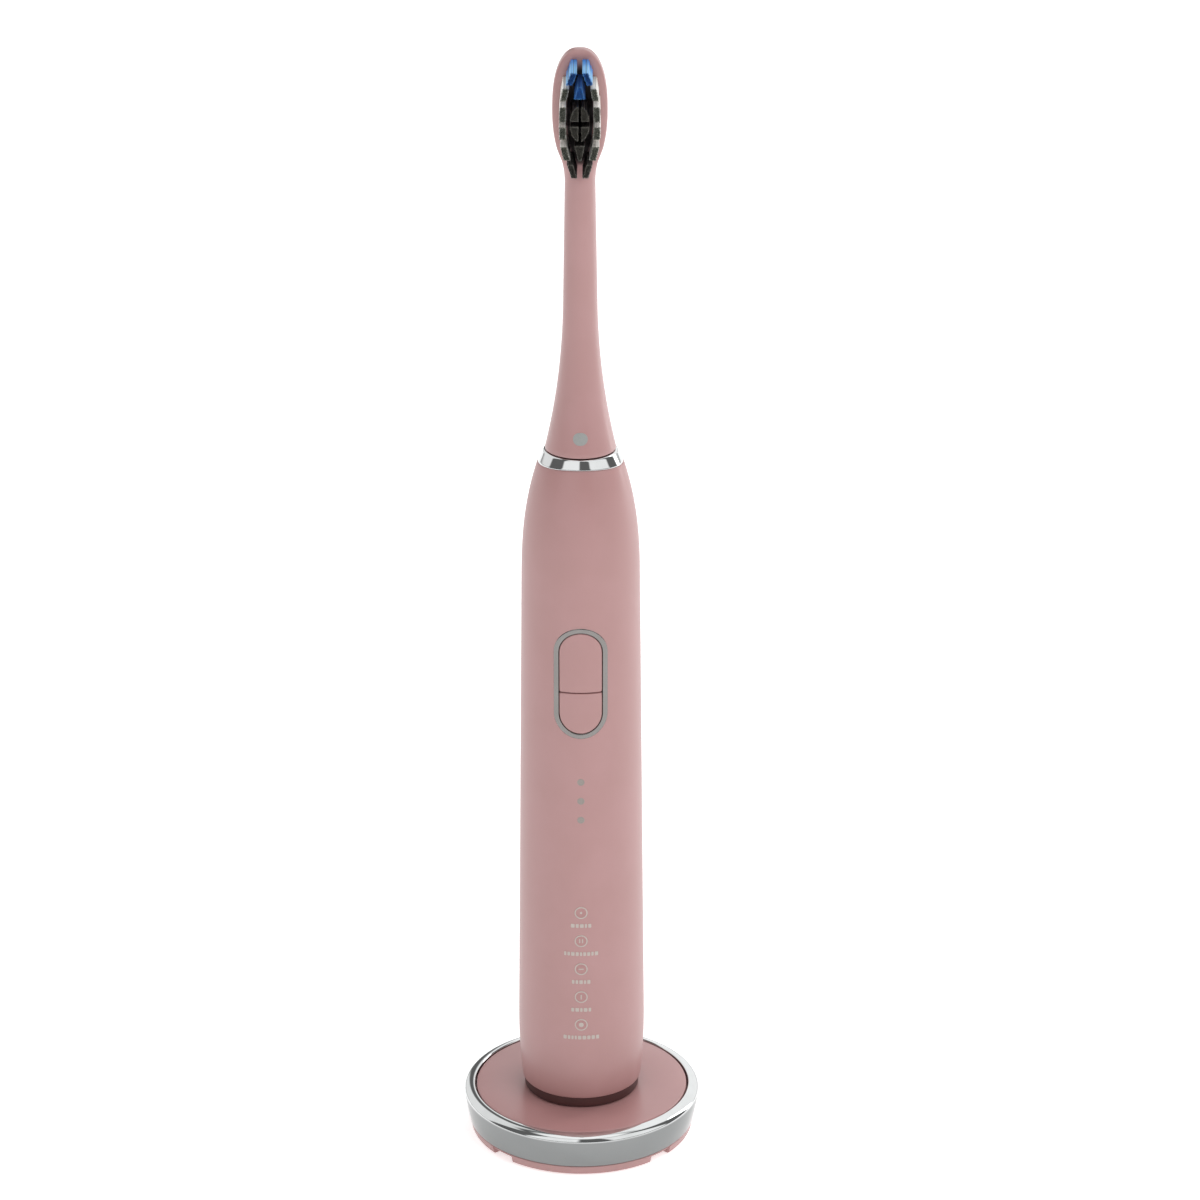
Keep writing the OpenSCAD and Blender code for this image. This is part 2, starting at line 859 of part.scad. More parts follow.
// Rubber sleeve that keeps water out where the shaft leaves the handle
module shaft_seal() {
    z = shell_top - neck_flange_t + 0.2;
    color(rubber_black)
    rotate_extrude()
        polygon([[shaft_r + running_gap, z], [neck_bore_r - 0.02, z],
            [neck_bore_r - 0.02, shell_top - 0.4], [neck_bore_r - 1.2, shell_top + 0.4],
            [shaft_r + 1.2, ring_top - 0.3], [shaft_r + running_gap, ring_top - 0.3]]);
}

module neck_trim_ring() {
    in_r = neck_bore_r + 0.3;
    edge = 0.25;
    color(chrome)
    rotate_extrude()
        polygon([[in_r, shell_top - rebate_h], [rebate_r, shell_top - rebate_h],
            [rebate_r, shell_top + 0.02], [top_d / 2 - 0.05, shell_top + 0.02],
            [top_d / 2, shell_top + edge], [neck_ring_d / 2, ring_top - edge],
            [neck_ring_d / 2 - edge, ring_top], [in_r, ring_top]]);
}

// ---------------------------------------------------------------- brush head

stem_r = stem_d / 2;
stem_grow = 1.04;
flare_power = 2.1;
stem_end_z = oval_z - oval_h / 2 + 1;
stem_runout = 7;
insert_r = 3.1;
insert_z = neck_z + 2;
insert_top = shaft_top + 2;
skirt_in_r = 6.2;
skirt_h = 7;
tuft_depth = 2;
tuft_gap = 0.02;
face_y = -head_t / 2;

// Radius of the neck: a slightly tapered stem and a flare towards the lower edge
function stem_r_at(z) = stem_r + stem_grow * (stem_end_z - z) / (stem_end_z - neck_z);
function flare(z) =
    z > neck_z + flare_h ? 0
    : (neck_d / 2 - stem_r - stem_grow)
        * pow((neck_z + flare_h - z) / flare_h, flare_power);
function neck_r(z) = stem_r_at(z) + flare(z);

flare_steps = 12;
neck_heights = concat(
    [for (i = [0 : flare_steps]) neck_z + flare_h * i / flare_steps],
    [stem_end_z]);

// Oval outline, centred on the head, a little fuller than an ellipse
oval_power = 2.2;
function fuller(v) = sign(v) * pow(abs(v), 2 / oval_power);
module oval_outline(w, h) {
    polygon([for (a = [0 : 6 : 354]) [w / 2 * fuller(cos(a)), oval_z + h / 2 * fuller(sin(a))]]);
}

// Fillets that run from the stem out to the oval's sides
module throat_outline() {
    z0 = oval_z - oval_h / 2 - 2.4;
    z1 = oval_z - oval_h / 2 + 5.2;
    r0 = neck_r(z0) - 0.05;
    r1 = 0.39 * oval_w;
    side = [for (i = [0 : 8])
        let (t = i / 8)
        [r0 + (r1 - r0) * pow(t, 1.5), z0 + (z1 - z0) * t]];
    polygon(concat(side, [for (i = [8 : -1 : 0]) [-side[i][0], side[i][1]]]));
}

module brush_neck() {
    stem = [for (z = neck_heights) [neck_r(z), z]];
    bevel = 0.7;
    color(pink)
    difference() {
        union() {
            rotate_extrude()
                polygon(concat([[0, neck_z]], stem,
                    [[head_t / 2, stem_end_z + stem_runout], [0, stem_end_z + stem_runout]]));
            raise_to_front(-face_y - bevel, face_y + bevel) {
                oval_outline(oval_w, oval_h);
                throat_outline();
            }
            raise_to_front(-face_y, face_y)
                oval_outline(oval_w - 2 * bevel, oval_h - 2 * bevel);
        }
        // Skirt and bore that go over the shaft
        rotate_extrude()
            polygon([[0, neck_z - 1], [skirt_in_r, neck_z - 1], [skirt_in_r, neck_z + 1],
                [insert_r + seat_gap, neck_z + skirt_h],
                [insert_r + seat_gap, insert_top + seat_gap], [0, insert_top + seat_gap]]);
        // The stem's front stays behind the bristle face
        translate([-oval_w, face_y - 5, stem_end_z]) cube([2 * oval_w, 5, oval_h]);
        raise_to_front(face_y + tuft_depth + tuft_gap, face_y - 5) all_tufts(tuft_gap);
    }
}

// Plastic sleeve in the neck, keyed to the shaft's flat
module neck_insert() {
    bore_r = shaft_r + running_gap;
    color(white)
    difference() {
        disc(insert_r, insert_z, insert_top - insert_z);
        difference() {
            disc(bore_r, insert_z - 1, shaft_top + 0.5 - insert_z + 1);
            translate([-5, flat_y + running_gap, 0]) cube([10, 5, head_top]);
        }
    }
}

// Tuft outlines, as places across and up from the head's middle
module leaning_tuft(x_low, x_high, z_low, z_high, w, gap) {
    for (side = [-1, 1])
        polygon([[side * (x_low - w / 2 - gap), oval_z + z_low - gap],
            [side * (x_low + w / 2 + gap), oval_z + z_low - gap],
            [side * (x_high + w / 2 + gap), oval_z + z_high + gap],
            [side * (x_high - w / 2 - gap), oval_z + z_high + gap]]);
}

module wedge_outline(w_low, w_high, z_low, z_high, gap) {
    polygon([[-w_low / 2 - gap, oval_z + z_low - gap], [w_low / 2 + gap, oval_z + z_low - gap],
        [w_high / 2 + gap, oval_z + z_high + gap], [-w_high / 2 - gap, oval_z + z_high + gap]]);
}

module blue_outline(gap = 0) { leaning_tuft(2.15, 1.2, 8.6, 11.25, 1.3, gap); }
module blue_wedge_outline(gap = 0) { wedge_outline(2.3, 0.8, 5.35, 8, gap); }

module outer_outline(gap = 0) {
    leaning_tuft(3.4, 2.85, 4.95, 7.65, 1.3, gap);
    leaning_tuft(3.6, 3.5, 0.4, 3.8, 1.35, gap);
    leaning_tuft(3.55, 3.6, -3.3, -0.6, 1.4, gap);
    leaning_tuft(2.65, 3.4, -7.8, -4.75, 1.4, gap);
}

module heel_outline(gap = 0) { leaning_tuft(1.15, 2.05, -11.65, -8.6, 1.25, gap); }
module wedge_tuft_outline(gap = 0) { wedge_outline(0.6, 2.15, -7.9, -4.6, gap); }

// A tall oval cut in four by a narrow upright gap and a wider level one
module centre_outline(gap = 0) {
    middle = oval_z + 0.1;
    upright = 0.6 - 2 * gap;
    level = 1.1 - 2 * gap;
    difference() {
        polygon([for (a = [0 : 10 : 350])
            [(2.05 + gap) * cos(a), middle + (3.75 + gap) * sin(a)]]);
        translate([-upright / 2, 0]) square([upright, head_top]);
        translate([-oval_w, middle - level / 2]) square([2 * oval_w, level]);
    }
}

module all_tufts(gap) {
    blue_outline(gap);
    blue_wedge_outline(gap);
    outer_outline(gap);
    heel_outline(gap);
    wedge_tuft_outline(gap);
    centre_outline(gap);
}

// Bristles from the bottom of their holes out to their tips
module bristles(extra = 0) {
    raise_to_front(face_y + tuft_depth, face_y - bristle_len - extra) children();
}

module blue_tufts() { color(brush_blue) bristles(tall_extra) blue_outline(); }
module blue_wedge_tuft() { color(brush_blue) bristles() blue_wedge_outline(); }
module outer_tufts() { color(white) bristles() outer_outline(); }
module centre_tufts() { color(tip_grey) bristles() centre_outline(); }
module wedge_tuft() { color(tip_grey) bristles() wedge_tuft_outline(); }
module heel_tufts() { color(tip_grey) bristles() heel_outline(); }

// ---------------------------------------------------------------- the nodes

charger_base();
charger_trim_ring();
charger_top_plate();
charger_coil();
charger_bobbin();
charger_ferrite_core();
charger_board();
charger_components();
charger_screws();
charger_feet();
cord_gland();
handle_shell();
bottom_cap();
cap_seal();
receiver_coil();
receiver_bobbin();
inner_frame();
battery_cell();
battery_tabs();
main_board();
board_chips();
power_switch();
mode_switch();
battery_leds();
mode_leds();
battery_lenses();
mode_lenses();
button_bezel();
button_membrane();
motor_can();
motor_end_cap();
motor_coil();
rear_bearing();
front_bearing();
motor_damper();
shaft_seal();
neck_trim_ring();
frame_screws();
power_key();
mode_key();
drive_shaft();
rotor_yoke();
rotor_magnets();
brush_neck();
neck_insert();
blue_tufts();
blue_wedge_tuft();
outer_tufts();
centre_tufts();
wedge_tuft();
heel_tufts();
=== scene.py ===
# %% [markdown]
# # An electric toothbrush on its charger
# A slim handle with a soft-touch coat stands on a round charger with a chrome rim. The moving
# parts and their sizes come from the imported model, which this script loads and never changes.
# What shows is built again here as smooth surfaces with worked-out finishes, and everything
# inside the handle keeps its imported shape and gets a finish.

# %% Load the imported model
import json
from math import asin, cos, pi, radians, sin, sqrt, tau

import bmesh
import bpy
import numpy as np
from mathutils.geometry import convex_hull_2d
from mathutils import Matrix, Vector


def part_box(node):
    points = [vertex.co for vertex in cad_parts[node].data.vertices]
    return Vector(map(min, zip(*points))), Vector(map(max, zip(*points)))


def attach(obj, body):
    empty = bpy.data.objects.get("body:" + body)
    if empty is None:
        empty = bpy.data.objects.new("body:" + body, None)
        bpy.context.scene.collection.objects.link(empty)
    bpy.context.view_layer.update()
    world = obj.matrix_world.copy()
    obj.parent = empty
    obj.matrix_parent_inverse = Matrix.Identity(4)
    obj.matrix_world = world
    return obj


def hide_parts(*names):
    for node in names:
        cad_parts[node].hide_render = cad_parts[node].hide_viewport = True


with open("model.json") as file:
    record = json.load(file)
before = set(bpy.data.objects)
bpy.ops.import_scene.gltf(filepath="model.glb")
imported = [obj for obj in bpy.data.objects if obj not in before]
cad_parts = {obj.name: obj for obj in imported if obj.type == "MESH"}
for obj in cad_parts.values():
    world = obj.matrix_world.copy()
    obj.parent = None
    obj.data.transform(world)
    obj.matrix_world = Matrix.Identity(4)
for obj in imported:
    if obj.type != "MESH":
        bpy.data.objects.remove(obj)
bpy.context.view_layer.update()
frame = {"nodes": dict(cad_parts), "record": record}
MM = 0.001

# %% [markdown]
# ## Camera
# A long lens from a little above, as for a catalogue picture: the rings of the charger show as
# ellipses, and the handle's sides stay nearly parallel. The lens is long because a short one
# close by would make the charger look too big for the brush.

# %% Camera
def add_camera():
    data = bpy.data.cameras.new("camera")
    data.sensor_width = 36
    data.lens = 133.5
    camera = bpy.data.objects.new("camera", data)
    camera.location = (4.2 * MM, -900 * MM, 500.4 * MM)
    camera.rotation_euler = (radians(67.6), 0, 0)
    bpy.context.scene.collection.objects.link(camera)
    bpy.context.scene.camera = camera
    return camera


camera = add_camera()
print("camera at", [round(v, 3) for v in camera.location])

# %% [markdown]
# ## Shader maths
# A finish is a network of nodes, but it reads better as sums. `Link` wraps a socket so that
# `1 - mask` or `grain * 0.2` adds the Math nodes, and `Paint` makes one material and adds any
# other node in one call. Colours go through Mix nodes, because a Math node turns them grey.

# %% Link and Paint
class Link:
    """A node's output that can be used in sums; each operator adds one Math node."""

    def __init__(self, paint, socket):
        self.paint, self.socket = paint, socket


def operator(operation, reflected):
    """The method for one operator: link + other, or its reflected form, other + link."""
    def apply(link, other):
        values = (other, link) if reflected else (link, other)
        return link.paint.maths(operation, *values)
    return apply


for sign, operation in (("add", "ADD"), ("sub", "SUBTRACT"), ("mul", "MULTIPLY")):
    setattr(Link, f"__{sign}__", operator(operation, False))
    setattr(Link, f"__r{sign}__", operator(operation, True))


def srgb(code):
    """Linear RGBA of a colour written as six hex digits: c/12.92, or ((c+0.055)/1.055)^2.4."""
    c = np.array([int(code[i:i + 2], 16) for i in (0, 2, 4)]) / 255
    linear = np.where(c <= 0.04045, c / 12.92, ((c + 0.055) / 1.055) ** 2.4)
    return (*linear.tolist(), 1)


class Paint:
    """A node tree with helpers. Constants go straight onto the shader's own sockets."""

    def __init__(self, name, constants=(), world=False):
        if world:
            self.owner = bpy.data.worlds.new(name)
        else:
            self.owner = bpy.data.materials.new(name)
        self.owner.use_nodes = True
        self.tree = self.owner.node_tree
        self.shader = self.tree.nodes["Background" if world else "Principled BSDF"]
        for socket, value in dict(constants).items():
            self.shader.inputs[socket].default_value = value
        self.coordinates = self.tree.nodes.new("ShaderNodeTexCoord")

    @property
    def place(self):
        """The point on the piece, in metres."""
        return Link(self, self.coordinates.outputs["Object"])

    def axis(self, number, vector=None):
        """One of the three numbers of a vector, the place on the piece if none is given."""
        return self.node("SeparateXYZ", {}, {0: vector or self.place}, number)

    def node(self, kind, settings=(), inputs=(), out=0):
        """Adds a node, sets it up, fills its sockets with values or links, and gives its output."""
        made = self.tree.nodes.new("ShaderNode" + kind)
        for key, value in dict(settings).items():
            if key == "stops":
                self.set_stops(made.color_ramp, value)
            else:
                setattr(made, key, value)
        for key, value in dict(inputs).items():
            if isinstance(value, Link):
                self.tree.links.new(value.socket, made.inputs[key])
            else:
                made.inputs[key].default_value = value
        return Link(self, made.outputs[out])

    @staticmethod
    def set_stops(ramp, stops):
        for i, (position, colour) in enumerate(stops):
            stop = ramp.elements[i] if i < 2 else ramp.elements.new(position)
            stop.position, stop.color = position, colour

    def maths(self, operation, *values):
        return self.node("Math", {"operation": operation}, dict(enumerate(values)))

    def noise(self, scale, detail=3.0, stretch=(1, 1, 1)):
        """Clouds of the given size; stretch draws them out along an axis."""
        spot = self.node("Mapping", {}, {"Vector": self.place, "Scale": stretch})
        return self.node("TexNoise", {}, {"Vector": spot, "Scale": scale, "Detail": detail})

    def grade(self, value, low, high, to_low=0.0, to_high=1.0):
        """value, brought from low..high to to_low..to_high and held there."""
        return self.node("MapRange", {"interpolation_type": "SMOOTHSTEP"},
                         {"Value": value, "From Min": low, "From Max": high,
                          "To Min": to_low, "To Max": to_high})

    def mix(self, factor, first, second, blend="MIX"):
        """Two colours, mixed by factor."""
        return self.node("Mix", {"data_type": "RGBA", "blend_type": blend},
                         {"Factor": factor, 6: first, 7: second}, out=2)

    def attribute(self, name):
        return self.node("Attribute", {"attribute_name": name}, {}, "Fac")

    def feed(self, socket, link):
        self.tree.links.new(link.socket, self.shader.inputs[socket])

    def bump(self, height, depth, strength=1.0):
        """Raises the surface by height times depth, in metres."""
        self.feed("Normal", self.node("Bump", {}, {"Height": height, "Distance": depth,
                                                  "Strength": strength}, "Normal"))


# %% [markdown]
# ## Studio
# Polished chrome is only as good as what it mirrors. A white room would make it flat, so the
# sky is a ring of tall soft boxes with dark gaps between them, the way a product table is lit.
# A stored picture of a studio could do this too, but formulas need no file. A pale floor fills
# the view, one big lamp draws the soft shadow at the handle's foot, and a narrow one behind on
# the right gives the handle its bright edge.

# %% Soft boxes, floor and lamps
# Each box: bearing from the front towards the right, half width, lowest and highest angle,
# and brightness
SOFT_BOXES = (
    (-28, 25, 8, 66, 0.98),
    (57, 29, 8, 66, 0.98),
    (150, 36, 3, 66, 1.05),
    (-127, 33, 3, 60, 0.85),
    (0, 180, 69, 90, 1.1),
)
ROOM = 0.14
BELOW = 0.8


def build_sky():
    """The room's brightness: a grey ground plus each box's smooth window in bearing and height."""
    sky = Paint("studio_sky", world=True)
    way = Link(sky, sky.coordinates.outputs["Generated"])
    x, y, z = (sky.axis(number, way) for number in range(3))
    bearing = sky.maths("ARCTAN2", x, 0 - y) * (180 / pi)
    height = sky.maths("ARCSINE", z) * (180 / pi)
    light = sky.grade(height, -3, 3, BELOW, ROOM)
    for middle, half, low, high, strength in SOFT_BOXES:
        away = sky.maths("ABSOLUTE", sky.maths("WRAP", bearing - middle, 180, -180))
        across = sky.grade(away, half - 3, half + 3, 1, 0)
        rising = sky.grade(height, low - 4, low + 4)
        falling = 1 - sky.grade(height, high - 4, high + 4) if high < 90 else 1
        light = light + across * rising * falling * strength
    sky.feed("Strength", light)
    sky.shader.inputs["Color"].default_value = (1, 1, 1, 1)
    bpy.context.scene.world = sky.owner


# The floor glows a little, as a lit table does, so that it stays white without strong lamps
FLOOR_GLOW = 0.55


def add_floor():
    half = 20.0
    mesh = bpy.data.meshes.new("floor")
    mesh.from_pydata([(-half, -half, 0), (half, -half, 0), (half, half, 0), (-half, half, 0)],
                     [], [(0, 1, 2, 3)])
    paint = Paint("pale_floor", {"Base Color": (0.9, 0.9, 0.9, 1), "Roughness": 0.9,
                                 "Specular IOR Level": 0.1, "Emission Color": (1, 1, 1, 1),
                                 "Emission Strength": FLOOR_GLOW})
    paint.feed("Roughness", paint.grade(paint.noise(40), 0.3, 0.7, 0.85, 0.95))
    mesh.materials.append(paint.owner)
    floor = bpy.data.objects.new("floor", mesh)
    bpy.context.scene.collection.objects.link(floor)


def add_lamp(name, place, target, size, power, mirrored):
    data = bpy.data.lights.new(name, "AREA")
    data.shape = "RECTANGLE"
    data.size, data.size_y = size
    data.energy = power
    lamp = bpy.data.objects.new(name, data)
    lamp.visible_glossy = mirrored
    lamp.location = place
    way = np.array(target) - np.array(place)
    lamp.rotation_euler = (np.arctan2(np.hypot(way[0], way[1]), -way[2]), 0,
                           np.arctan2(-way[0], way[1]))
    bpy.context.scene.collection.objects.link(lamp)


build_sky()
add_floor()
add_lamp("key_lamp", (0.55, -0.6, 1.2), (0, 0, 0.1), (0.8, 0.8), 3.5, False)
add_lamp("edge_lamp", (0.75, 0.45, 0.4), (0, 0, 0.12), (0.16, 0.8), 1.6, True)
bpy.context.scene.view_settings.view_transform = "Standard"
print("studio: floor, 2 lamps,", len(SOFT_BOXES), "soft boxes")

# %% [markdown]
# ## Finishes
# The coat on the casings is a soft-touch lacquer: almost no gloss, a faint pebble that breaks
# up highlights, and a slight haze of sheen at the edges. The chrome has hardly any texture, so
# only a trace of polishing marks and finger haze moves its roughness. Pictures of real samples
# could be wrapped on instead, but noise read at the point itself has no seams.

# %% Finishes that show
def soft_touch(name, tint, gloss=0.42, shine=0.75, painted_shade=None):
    """Matte lacquer: fine pebble in the height, broad clouds in the roughness, slight mottle
    and a thin clear skin. Where the mask made by the last argument is 1, the colour is a dark
    maroon painted shade."""
    paint = Paint(name, {"Specular IOR Level": shine, "Coat Weight": 0.2, "Coat Roughness": 0.2})
    pebble = paint.noise(5200, 2.0)
    cloud = paint.noise(70, 3.0)
    colour = paint.mix(paint.grade(cloud, 0.3, 0.7), srgb(tint[0]), srgb(tint[1]))
    rough = gloss + cloud * 0.08 + pebble * 0.06
    if painted_shade:
        mask = painted_shade(paint)
        # Painted shade: dark maroon where the mask is 1, on the face between the tufts
        colour = paint.mix(mask, colour, srgb("180B0C"))
        rough = rough + mask * 0.5
        paint.feed("Coat Weight", 0.2 - mask * 0.2)
    paint.feed("Base Color", colour)
    paint.feed("Roughness", rough)
    paint.bump(pebble, 0.012 * MM, 0.5)
    return paint.owner


def chrome_plate(name, side, shoulder, change=(0, 1)):
    """Plated metal: a haze of fingermarks and very fine polishing lines move the roughness.
    The colour goes from side to shoulder between the two heights of change; a side darker than
    the shoulder is a painted reflection of shade."""
    paint = Paint(name, {"Metallic": 1.0})
    haze = paint.noise(160, 4.0)
    lines = paint.noise(900, 2.0, (1, 1, 14))
    z = paint.axis(2)
    # A side darker than the shoulder is a painted reflection of the shade round the charger's foot
    tint = paint.mix(paint.grade(z, *change), srgb(side), srgb(shoulder))
    paint.feed("Base Color", paint.mix(paint.grade(haze, 0.3, 0.9, 0, 0.2), tint, srgb("909292")))
    paint.feed("Roughness", 0.035 + paint.grade(haze, 0.45, 0.75, 0, 0.05) + lines * 0.02)
    paint.bump(lines, 0.002 * MM, 0.3)
    return paint.owner


def grained(name, colours, rough, grain, cloud=None, depth=0.01, strength=0.5, share=1,
            sockets=()):
    """The finish of mouldings, prints and blasted metal. A fine grain moves the height and the
    roughness, from rough[0] up by rough[1]. A broader cloud, or the grain itself where none is
    given, drifts from the first colour towards the second, share of the way."""
    paint = Paint(name, sockets)
    fine = paint.noise(*grain)
    drift = paint.noise(*cloud) if cloud else fine
    paint.feed("Base Color", paint.mix(drift * share, srgb(colours[0]), srgb(colours[1])))
    paint.feed("Roughness", rough[0] + fine * rough[1])
    if depth:
        paint.bump(fine, depth * MM, strength)
    return paint.owner


def frosted_window(name, *colours):
    """Frosted light window: flat tint, slightly cloudy, with a faint glow of depth."""
    return grained(name, colours, (0.3, 0.2), (2600, 2.0), depth=0, sockets={
        "Subsurface Weight": 0.15, "Subsurface Radius": (0.002, 0.0018, 0.0015),
        "Subsurface Scale": 0.5})


def printed_ink(name, *colours):
    """Pale pad print: thin, slightly uneven, a little glossier than the coat."""
    return grained(name, colours, (0.34, 0.12), (4200, 3.0), depth=0.004, strength=0.4)


def rubber(name, code):
    """Matte rubber: a pale bloom in colour and a fine tooth."""
    return grained(name, (code, "4A4745"), (0.62, 0.25), (2800, 4.0), (160, 3.0), 0.015, 0.6,
                   0.5, {"Specular IOR Level": 0.35})


PINK = ("A87D7B", "AC8180")
pink_coat = soft_touch("pink_soft_touch", PINK)
plate_coat = soft_touch("plate_soft_touch", ("AF8180", "B38685"), 0.26, 0.8)
chrome = chrome_plate("polished_chrome", "DADCDC", "E2E4E4")
# The chrome band's darker side is a painted reflection of the shade round the charger's foot
band_chrome_painted_reflection = chrome_plate("band_chrome_painted_reflection", "888A8A", "DADCDC", (8.9 * MM, 9.6 * MM))
# Bead-blasted metal, and a dark moulding with a spark-eroded grain, whose dark colour is painted
# shade
satin = grained("satin_metal", ("7E7B79", "8A8785"), (0.2, 0.1), (9000, 2.0), (220, 2.0),
                0.006, sockets={"Metallic": 1.0})
dark_cap_painted_shade = grained("dark_rose_plastic", ("432625", "502F2D"), (0.42, 0.15), (3600, 3.0),
                      (120, 3.0), sockets={"Specular IOR Level": 0.45})
light_window = frosted_window("light_window", "8B837E", "97908A")
mode_window = frosted_window("mode_window", "A87D7B", "AC8180")
ink = printed_ink("printed_ink", "B0A69F", "BCB2AB")
dot_ink = printed_ink("dot_ink", "8F918F", "9B9D9B")
black_rubber = rubber("black_rubber", "151515")
shown = (pink_coat, plate_coat, chrome, band_chrome_painted_reflection, satin, dark_cap_painted_shade, light_window, mode_window,
         ink, dot_ink, black_rubber)
print("finishes that show:", len(shown))

# %% [markdown]
# ## Finishes inside
# A part that is taken out should still look like what it is: enamelled wire in turns, a board
# with traces and pads, brushed steel. Wave, brick and cell patterns draw these without any
# modelled wire, which would cost far more faces than it is worth.

# %% Finishes inside
def wound_copper():
    """Enamelled wire: turns as a fine wave up the winding, with painted shade darker between turns.
    """
    paint = Paint("copper_wire", {"Metallic": 0.85})
    turns = paint.node("TexWave", {"wave_type": "BANDS", "bands_direction": "Z"},
                       {"Vector": paint.place, "Scale": 900.0, "Distortion": 0.4})
    # Painted shade: the copper is darker between the turns
    paint.feed("Base Color", paint.mix(turns, srgb("6E3A1E"), srgb("C57B45")))
    paint.feed("Roughness", 0.25 + paint.noise(500) * 0.25)
    paint.bump(turns, 0.06 * MM, 0.8)
    return paint.owner


def circuit_board():
    """Solder mask with lighter traces along a rectangular maze and tin pads."""
    paint = Paint("circuit_board", {"Coat Weight": 0.3, "Coat Roughness": 0.15})
    maze = paint.node("TexBrick", {"offset": 0.35},
                      {"Vector": paint.node("Mapping", {}, {"Vector": paint.place,
                       "Rotation": (pi / 2, 0, 0)}), "Scale": 420.0, "Mortar Size": 0.035}, 1)
    cells = paint.node("TexVoronoi", {"feature": "F1"},
                       {"Vector": paint.place, "Scale": 520.0}, "Distance")
    pads = paint.grade(cells, 0.16, 0.2, 1, 0)
    mask = paint.mix(maze, srgb("1E5A3C"), srgb("2E7A52"))
    paint.feed("Base Color", paint.mix(pads, mask, srgb("B9B7AE")))
    paint.feed("Metallic", pads * 0.9)
    paint.feed("Roughness", 0.3 + paint.noise(800) * 0.2)
    paint.bump(maze, 0.02 * MM, 0.5)
    return paint.owner


def turned_steel(name, dark, light, rough):
    """Machined metal: rings of tool marks round the axis, and a light haze."""
    paint = Paint(name, {"Metallic": 1.0})
    rings = paint.node("TexWave", {"wave_type": "BANDS", "bands_direction": "Z"},
                       {"Vector": paint.place, "Scale": 2400.0, "Distortion": 1.5,
                        "Detail": 2.0})
    haze = paint.noise(300, 3.0)
    paint.feed("Base Color", paint.mix(haze, srgb(dark), srgb(light)))
    paint.feed("Roughness", rough + haze * 0.12 + rings * 0.05)
    paint.bump(rings, 0.004 * MM, 0.5)
    return paint.owner


def moulding(name, dark, light, rough=0.42, grain_scale=2600):
    """Plain moulded plastic: slight colour drift and an even fine grain."""
    return grained(name, (dark, light), (rough, 0.14), (grain_scale, 3.0), (90, 3.0))


def cell_sleeve():
    """Shrink sleeve on the cell: two plain bands and a glossy skin with soft ripples."""
    paint = Paint("cell_wrap", {"Coat Weight": 0.4, "Coat Roughness": 0.1})
    low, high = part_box("battery_cell")
    z = paint.axis(2)
    band = paint.grade(z, high.z - 11 * MM, high.z - 10.8 * MM)
    ripple = paint.noise(240, 2.0, (1, 1, 0.3))
    paint.feed("Base Color", paint.mix(band, srgb("2F6B4A"), srgb("C9CCCB")))
    paint.feed("Roughness", 0.22 + ripple * 0.2)
    paint.bump(ripple, 0.05 * MM, 0.4)
    return paint.owner


INNER = {
    "copper_wire": wound_copper(),
    "circuit_board": circuit_board(),
    "black_parts": moulding("black_parts", "1B1B1D", "242427", 0.35),
    "black_rubber": black_rubber,
    "rose_silicone": rubber("rose_silicone", "3A1F1F"),
    "steel": turned_steel("steel", "9A9CA0", "B8BABD", 0.2),
    "ferrite": moulding("ferrite", "26262A", "35353A", 0.6, 1500),
    "magnet": turned_steel("magnet", "7E7F83", "98999D", 0.26),
    "white_plastic": moulding("white_plastic", "DAD8D2", "E4E2DD"),
    "cell_wrap": cell_sleeve(),
    "light_pipe": light_window,
    "mode_mark": mode_window,
    "led_white": frosted_window("led_white", "E8E6D6", "F2F0E2"),
    "pink_soft_touch": pink_coat,
    "dark_rose_plastic": dark_cap_painted_shade,
    "polished_chrome": chrome,
    "satin_metal": satin,
}
print("finishes inside:", len(INNER))

# %% [markdown]
# ## Surfaces on a grid
# Every new piece is a grid of points: rows along it, columns round it. One function turns such
# a grid into a mesh. The columns always close into a ring; the rows either end in a pole at
# both ends or join up like a tyre. Primitives with modifiers could make such shapes too, but a
# grid keeps each size a number, and its faces are known to be closed.

# %% Grid to mesh
def make_object(name, points, faces, material, smooth=35):
    """A mesh object with outward faces: if the volume that they enclose is negative, every
    face is turned over. Edges sharper than smooth degrees stay crisp."""
    mesh = bpy.data.meshes.new(name)
    mesh.from_pydata(points, [], faces)
    shell = bmesh.new()
    shell.from_mesh(mesh)
    if shell.calc_volume(signed=True) < 0:
        bmesh.ops.reverse_faces(shell, faces=shell.faces)
        shell.to_mesh(mesh)
    shell.free()
    mesh.shade_smooth()
    mesh.set_sharp_from_angle(angle=radians(smooth))
    mesh.materials.append(material)
    piece = bpy.data.objects.new(name, mesh)
    bpy.context.scene.collection.objects.link(piece)
    return piece


def cells(index, joined=False):
    """The four corners of every cell between neighbouring rows of a grid of point numbers."""
    low = index if joined else index[:-1]
    high = np.roll(index, -1, 0) if joined else index[1:]
    return np.stack([low, np.roll(low, -1, 1), np.roll(high, -1, 1), high], -1)


def grid_faces(rows, cols, ends):
    """The cells of a grid, and fans to two extra points at poles."""
    index = np.arange(rows * cols).reshape(rows, cols)
    faces = cells(index, ends == "joined").reshape(-1, 4).tolist()
    if ends == "poles":
        for edge, pole in ((index[0][::-1], rows * cols), (index[-1], rows * cols + 1)):
            faces += [[a, b, pole] for a, b in zip(edge.tolist(), np.roll(edge, -1).tolist())]
    return faces


def skin(name, grid, material, ends="poles", smooth=35):
    """The mesh of a grid of shape (rows, columns, 3)."""
    rows, cols, _ = grid.shape
    points = grid.reshape(-1, 3)
    if ends == "poles":
        points = np.vstack([points, grid[0].mean(0), grid[-1].mean(0)])
    return make_object(name, points, grid_faces(rows, cols, ends), material, smooth)


